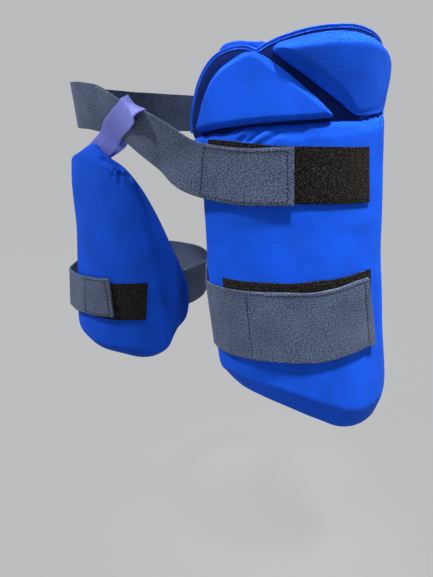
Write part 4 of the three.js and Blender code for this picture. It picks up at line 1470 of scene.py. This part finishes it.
@dataclass
class Straps:
    """The waist belt and both thigh straps, of brushed elastic. A hem is wider at its upper edge by gain."""

    sewing: Sewing
    belt_width: float = 50
    thigh_width: float = 77
    inner_width: float = 49
    hip: float = 181
    hip_rise: float = 34
    belt: Optional[Strap] = field(default=None)

    def lay(
        self,
        strap: Strap,
        node: str,
        cells: tuple[float, int],
        hem: tuple[bool, float, float],
        sway: tuple[float, float],
        slant: float,
        runs: Rows,
    ) -> None:
        """Builds an elastic strap with its hem, its wandering edges and its stitches.

        Args:
            strap: the strap, not yet built.
            node: the solid that it stands for.
            cells: the length of its faces, and the faces across its width.
            hem: whether it is at the strap's start, its width at the lower edge and its gain.
            sway: the seed and the size of the edges' wandering.
            slant: how much shorter its upper edge is.
            runs: the stitch rows' ends.
        """
        at_start, width, gain = hem

        def relief(along: Array, across: Array, side: Array) -> Array:
            """The folded hem, the sunk stitch row and the band's slight waves."""
            to_end = along if at_start else strap.length - along
            to_end = to_end - width - gain * (across / strap.width + 0.5)
            waves = 0.12 * mottle(along, across * 2, 9.0, 3.0)
            selvedge = 0.18 * smoothstep(3.2, 1.6, strap.width / 2 - np.abs(across))
            fold = 0.9 * smoothstep(0.6, -0.6, to_end) - 0.35 * hump(to_end - 1.3, 0.9)
            return np.where(side > 0, fold + waves + selvedge, waves)

        def shift(along: Array, share: Array) -> Array:
            """The edges wander a little, as elastic's do."""
            return sway[1] * mottle(along, np.sign(share) * 40, 26.0, sway[0]) * np.abs(share)

        strap.build(*cells, relief, shift, slant)
        shaded(strap.obj)
        strap.width * MM
        rows = strap.stitch_rows(runs, strap.thickness / 2 + 0.3)
        self.sewing.sew(node + "_stitches", Finish.NAVY_THREAD, rows)
        self.sewing.hand_over(strap.obj, Finish.ELASTIC, node)

    def thigh_strap(self) -> None:
        """Builds the wide strap on the outer guard."""
        rim = OUTER_FORM.degrees(1.07 * OUTER.half_arc)
        seat = OUTER_FORM.face_radius + BAND.seat
        steps = (
            (62 - 360, 0.026, -0.18), (-180, 0.013, -0.18), (-rim - 42, -0.039, -0.12),
            (-rim - 22, -0.065, 0.02), (-rim - 10, -0.078, 0.34), (-rim - 4, -0.076, 0.62),
            (-rim + 1, -0.071, 0.93), (-rim + 6, -0.065, 1.08),
        )
        rows = (
            (48 - 360, 0.026, OUTER_BACK - BAND.tuck - BAND.thickness / 2),
            *((angle, rise, OUTER_BACK + share * OUTER.thickness) for angle, rise, share in steps),
            (-rim + 12, -0.055, seat),
            (0, 0.0065, seat),
            (35.6, 0.143, seat),
        )
        strap = strap_round(
            "dressed_thigh_strap", OUTER_FORM, rows, BAND.outer_level, self.thigh_width, BAND.thickness
        )
        half = strap.width / 2 - 3.2
        joint, low, high = (strap.length - inset for inset in (137.5, 9.9, 15.9))
        runs = ((low, high, -half, half), (joint, joint, -half, half), (joint, high - 0.1, half, half))
        self.lay(strap, "thigh_strap", (2.6, 24), (False, 8.6, 6.0), (1.0, 0.5), 10.6, runs)

    def waist_belt(self) -> None:
        """Builds the belt: on the guard's face, across the front, round the hips and back inside the guard."""
        turn, out_share, rise, tip = np.array(BELT_RUN).T[:, :, None]
        bearing = np.radians(turn)
        away = np.concatenate([np.sin(bearing), -np.cos(bearing), bearing * 0], axis=1)
        middle = away * (out_share * self.hip)
        middle[:, 2:] = rise * self.hip_rise
        upward = np.array([[0, 0, 1]]) * np.cos(np.radians(tip)) + away * np.sin(np.radians(tip))
        seat = OUTER_FORM.face_radius + BAND.seat
        face = OUTER_FORM.axes_at(np.linspace(-2.3, -28, 5), np.array(BELT_ON_FACE), seat)
        inside = OUTER_FORM.degrees(OUTER.half_arc) - 3 - np.array([0, 5, 10])
        tuck = OUTER_BACK - BAND.tuck - BAND.thickness / 2
        back = OUTER_FORM.axes_at(inside, np.full(3, BAND.belt_level), tuck)
        line = run_through(np.concatenate([face[0], middle, back[0]]), steps=24)
        wanted = run_through(np.concatenate([face[1], upward, back[1]]), steps=24)
        way = unit(np.gradient(line, axis=0))
        up = squared_to(way, wanted)
        out = unit(np.cross(up, way))
        self.belt = Strap("dressed_waist_belt", line, up, out, self.belt_width, BAND.thickness)
        runs = frame_runs(5.8, 87.5, self.belt_width / 2 - 3.0)
        self.lay(self.belt, "waist_belt", (2.8, 20), (True, 4.5, 0.0), (4.0, 0.5), 0.0, runs)

    def inner_strap(self) -> None:
        """Builds the strap of the inner guard, which bulges off the guard's outer edge."""
        edge = -INNER.half_angle
        seat = INNER_FORM.face_radius + BAND.seat
        steps = (
            (54 - 360, 0.04, -0.23), (-180, 0.08, -0.23), (edge - 40, -0.02, 0.08),
            (edge - 22, -0.08, 1.14), (edge - 9, -0.1, 1.53), (edge + 6, -0.08, 1.41),
        )
        rows = (
            (40 - 360, 0.04, INNER_BACK - BAND.tuck - BAND.thickness / 2),
            *((angle, rise, INNER_BACK + share * INNER.thickness) for angle, rise, share in steps),
            (-25, -0.02, seat),
            (-5, 0.03, seat),
        )
        strap = strap_round(
            "dressed_inner_strap", INNER_FORM, rows, BAND.inner_level, self.inner_width, BAND.thickness
        )
        end = strap.length - 5.0
        runs = frame_runs(end - 40, end, strap.width / 2 - 3.0, 7.6)
        self.lay(strap, "inner_strap", (2.4, 18), (False, 4.0, 0.6), (7.0, 0.4), 7.3, runs)

    def build(self) -> None:
        """Builds all three straps."""
        self.thigh_strap()
        self.waist_belt()
        self.inner_strap()


# Inner guard


@dataclass
class InnerGuard:
    """The smaller guard for the right thigh with its loop patch."""

    sewing: Sewing

    def relief(self, arc: Array, height: Array) -> Array:
        """The gathered pinch near the top, with folds that run out of it, and slight unevenness."""
        held = smoothstep(34, 26, np.abs(height - BAND.inner_level)) * smoothstep(36, 30, arc)
        return creased(INNER_CREASES, arc, height) + 0.45 * mottle(arc, height, 34.0, 2.0) * (1 - held)

    def free(self, arc: Array, height: Array) -> Array:
        """How free the face is of its strap."""
        return 1 - smoothstep(36, 26, np.abs(height - BAND.inner_level)) * smoothstep(38, 30, arc)

    def pad(self) -> None:
        """Builds the inner pad."""
        outline = scaled(INNER_OUTLINE, (INNER_ARC, -INNER.height, INNER.bevel), INNER.top)
        panel = Panel(
            "dressed_inner_pad",
            INNER_FORM,
            run_through(outline, closed=True, steps=14),
            ((-99, -23), (-27, -24), (66, -257), (-92, -240)),
            INNER_BACK,
            INNER.rim,
            INNER.thickness,
            (50, 72),
            round_off=0.1,
            bulge=1.0,
            fullness=lambda arc, height: 1 + 1.6 * smoothstep(58, 72, arc) * smoothstep(-140, -165, height),
            lean=lambda arc, height: 3.4 * smoothstep(-58, -88, arc) * smoothstep(-120, -50, height),
        )
        # The inner pad wears the darker copy of the royal knit: painted shade.
        self.sewing.stuff(panel, Finish.DEEP, "inner_pad", 0.85, self.relief, self.free, 2.0)

    def build(self) -> None:
        """Builds the inner pad and its loop patch."""
        self.pad()
        rows = [(*row, INNER_FORM.face_radius + BAND.patch_middle) for row in INNER_PATCH_ROWS]
        patch = strap_round(
            "dressed_inner_patch", INNER_FORM, rows, BAND.inner_level, INNER.patch_width, BAND.patch * 0.9
        )
        self.sewing.fuzzy_patch(patch, "inner_loop_patch")


# Webbing hanger


@dataclass
class Hanger:
    """The webbing loop that hangs the inner guard from the belt."""

    sewing: Sewing
    belt: Strap
    width: float = 25
    thickness: float = 1.6
    reach: float = 12
    clearance: float = 1.0
    fold_rise: float = 1.0
    bow: float = 2
    foot_angle: float = -34
    foot_swing: float = 5
    foot_drop: float = 8
    belt_place: float = 178
    slant: float = 54
    ribs: int = 15
    foot_way: tuple[float, float, float] = (0.805, 0.064, -0.59)

    def on_belt(self, slant: float, rise: float, lift: float) -> Array:
        """A place beside the belt, by shares of the slant, the belt's half width and the clear distance."""
        clear = self.belt.thickness / 2 + self.clearance + self.thickness / 2
        along = np.array([self.belt_place + slant * self.slant])
        return self.belt.point(along, np.array([rise * self.belt.width / 2]), np.array([lift * clear]))[0]

    def foot(self, leg: int, tuck: float) -> Array:
        """A place of the first or the second leg behind the guard's top edge."""
        inner = INNER_BACK - BAND.tuck - self.thickness / 2 - self.bow
        height = INNER.top - self.foot_drop - tuck * self.reach
        angle = self.foot_angle - tuck * self.foot_swing
        return INNER_FORM.at_angle(angle, height, inner - leg * (self.thickness + self.clearance))

    def stations(self) -> Strap:
        """Leads the webbing from the guard's back over the belt and down again.

        Returns:
            The webbing, not yet built.
        """
        on_belt, foot = self.on_belt, self.foot
        fold = 1 + self.fold_rise / (self.belt.width / 2)
        path = (
            foot(0, 1), foot(0, 0.2), on_belt(1.02, -1.22, 1.5), on_belt(0.74, -0.6, 1.5),
            on_belt(0.44, 0, 1.3), on_belt(0.16, 0.6, 1.2), on_belt(0.03, 0.98, 1.1),
            on_belt(0, fold, 0), on_belt(0.03, 0.98, -1.1), on_belt(0.16, 0.6, -1.2),
            on_belt(0.42, 0, -1.2), on_belt(0.7, -0.6, -1.35), on_belt(0.95, -1.25, -1.6),
            foot(1, 0.2), foot(1, 1),
        )
        line = run_through(path, steps=24)
        share = lengths_along(line) / lengths_along(line)[-1]
        belt_way = unit(on_belt(0, 0, 0) - on_belt(0.4, 0, 0))
        turned = smoothstep(0.03, 0.26, np.abs(share - 0.5))[:, None]
        way = unit(np.gradient(line, axis=0))
        up = squared_to(way, belt_way * (1 - turned) + unit(np.array(self.foot_way)) * turned)
        return Strap("dressed_webbing_loop", line, up, unit(np.cross(way, up)), self.width, self.thickness)

    def build(self) -> None:
        """Builds the webbing with its ribs."""
        strap = self.stations()

        def ribbed(along: Array, across: Array, side: Array) -> Array:
            """The ribs along the webbing."""
            return 0.34 * (np.sqrt(np.abs(np.sin(np.pi * self.ribs * across / self.width))) - 1)

        strap.build(1.6, 90, ribbed)
        shaded(strap.obj, 180)
        flat = (strap.width * MM, strap.length * MM)
        self.sewing.hand_over(strap.obj, Finish.WEBBING, "webbing_loop")


# Studio


@dataclass
class Studio:
    """A plain pale floor that curves up all round, soft lights and the camera."""

    floor_level: float = -0.62
    floor_radius: float = 4.0
    floor_glow: float = 0.5
    room_glow: float = 0.16

    def floor(self) -> None:
        """Makes the floor, a wide dish."""
        deselect_all()
        bpy.ops.mesh.primitive_circle_add(
            vertices=96, radius=self.floor_radius, fill_type="NGON", location=(0, 0, self.floor_level)
        )
        dish = bpy.context.object
        dish.name = "floor"
        with shaping(dish):
            for scale, lift in ((1.12, 0.06), (1.1, 0.2), (1.06, 0.4), (1.03, 0.7), (1.01, 1.2), (1.0, 2.4)):
                bpy.ops.mesh.extrude_region_move(TRANSFORM_OT_translate={"value": (0, 0, lift)})
                bpy.ops.transform.resize(value=(scale, scale, 1), center_override=(0, 0, 0))
            bpy.ops.mesh.delete(type="ONLY_FACE")
            bpy.ops.mesh.select_all(action="SELECT")
            bpy.ops.mesh.normals_make_consistent(inside=True)
        shaded(dish, 180)
        bench = DyeBench("pale_floor")
        look = {
            "Base Color": (0.02, 0.02, 0.02, 1.0),
            "Roughness": 1.0,
            "Specular IOR Level": 0.0,
            "Emission Color": (0.97, 0.98, 1.0, 1.0),
            "Emission Strength": self.floor_glow,
        }
        bench.set_sockets(bench.surface, look)
        dish.data.materials.append(bench.material)

    def light(
        self, name: str, place: Colour, aim: Colour, size: float, power: float, colour: Colour, spread: float
    ) -> None:
        """Adds one area light.

        Args:
            name: the light's name.
            place: where it stands, in metres.
            aim: where it points.
            size: its width.
            power: its power in watts.
            colour: its colour.
            spread: how wide its beam is, in degrees.
        """
        lamp = bpy.data.lights.new(name, "AREA")
        lamp.spread = math.radians(spread)
        lamp.energy = power
        lamp.size = size
        lamp.color = colour
        holder = bpy.data.objects.new(name, lamp)
        holder.location = place
        holder.rotation_euler = (Vector(aim) - Vector(place)).to_track_quat("-Z", "Y").to_euler()
        bpy.context.scene.collection.objects.link(holder)

    def lights(self) -> None:
        """Lights the guard from the upper left front, with soft fill."""
        self.light("key", (-1.40, -0.95, 1.9), (0.0, 0.0, -0.1), 0.26, 76, (1.0, 0.98, 0.95), 180)
        self.light("beam", (0.6, -0.66, 2.05), (0.21, -0.05, -0.17), 0.24, 1.0, (1.0, 0.99, 0.97), 14)
        self.light("rim", (-1.2, 1.8, 1.4), (0.0, 0.0, -0.1), 1.2, 10, (1.0, 1.0, 1.0), 180)
        world = bpy.data.worlds.new("pale_room")
        world.use_nodes = True
        shade = world.node_tree.nodes["Background"]
        shade.inputs[0].default_value = (0.95, 0.97, 1.0, 1.0)
        shade.inputs[1].default_value = self.room_glow
        bpy.context.scene.world = world

    def camera(self) -> None:
        """Sets the camera: 20 degrees down, 20 degrees round towards the outer guard."""
        lens = bpy.data.cameras.new("view")
        lens.sensor_fit = "VERTICAL"
        lens.sensor_width = lens.sensor_height = 36
        lens.lens = 27.08
        holder = bpy.data.objects.new("view", lens)
        holder.location = (0.1972, -0.5114, 0.005)
        holder.rotation_euler = (math.radians(70), 0, math.radians(20))
        bpy.context.scene.collection.objects.link(holder)
        bpy.context.scene.camera = holder

    def build(self) -> None:
        """Sets up the whole studio."""
        self.camera()
        self.floor()
        self.lights()
        bpy.context.scene.view_settings.view_transform = "Standard"


def main() -> None:
    """Builds the guard piece by piece in the studio."""
    logging.basicConfig(level=logging.INFO, format="%(name)s: %(message)s")
    Studio().build()
    sewing = Sewing()
    OuterGuard(sewing).build()
    InnerGuard(sewing).build()
    straps = Straps(sewing)
    straps.build()
    Hanger(sewing, straps.belt).build()


if __name__ == "__main__":
    main()
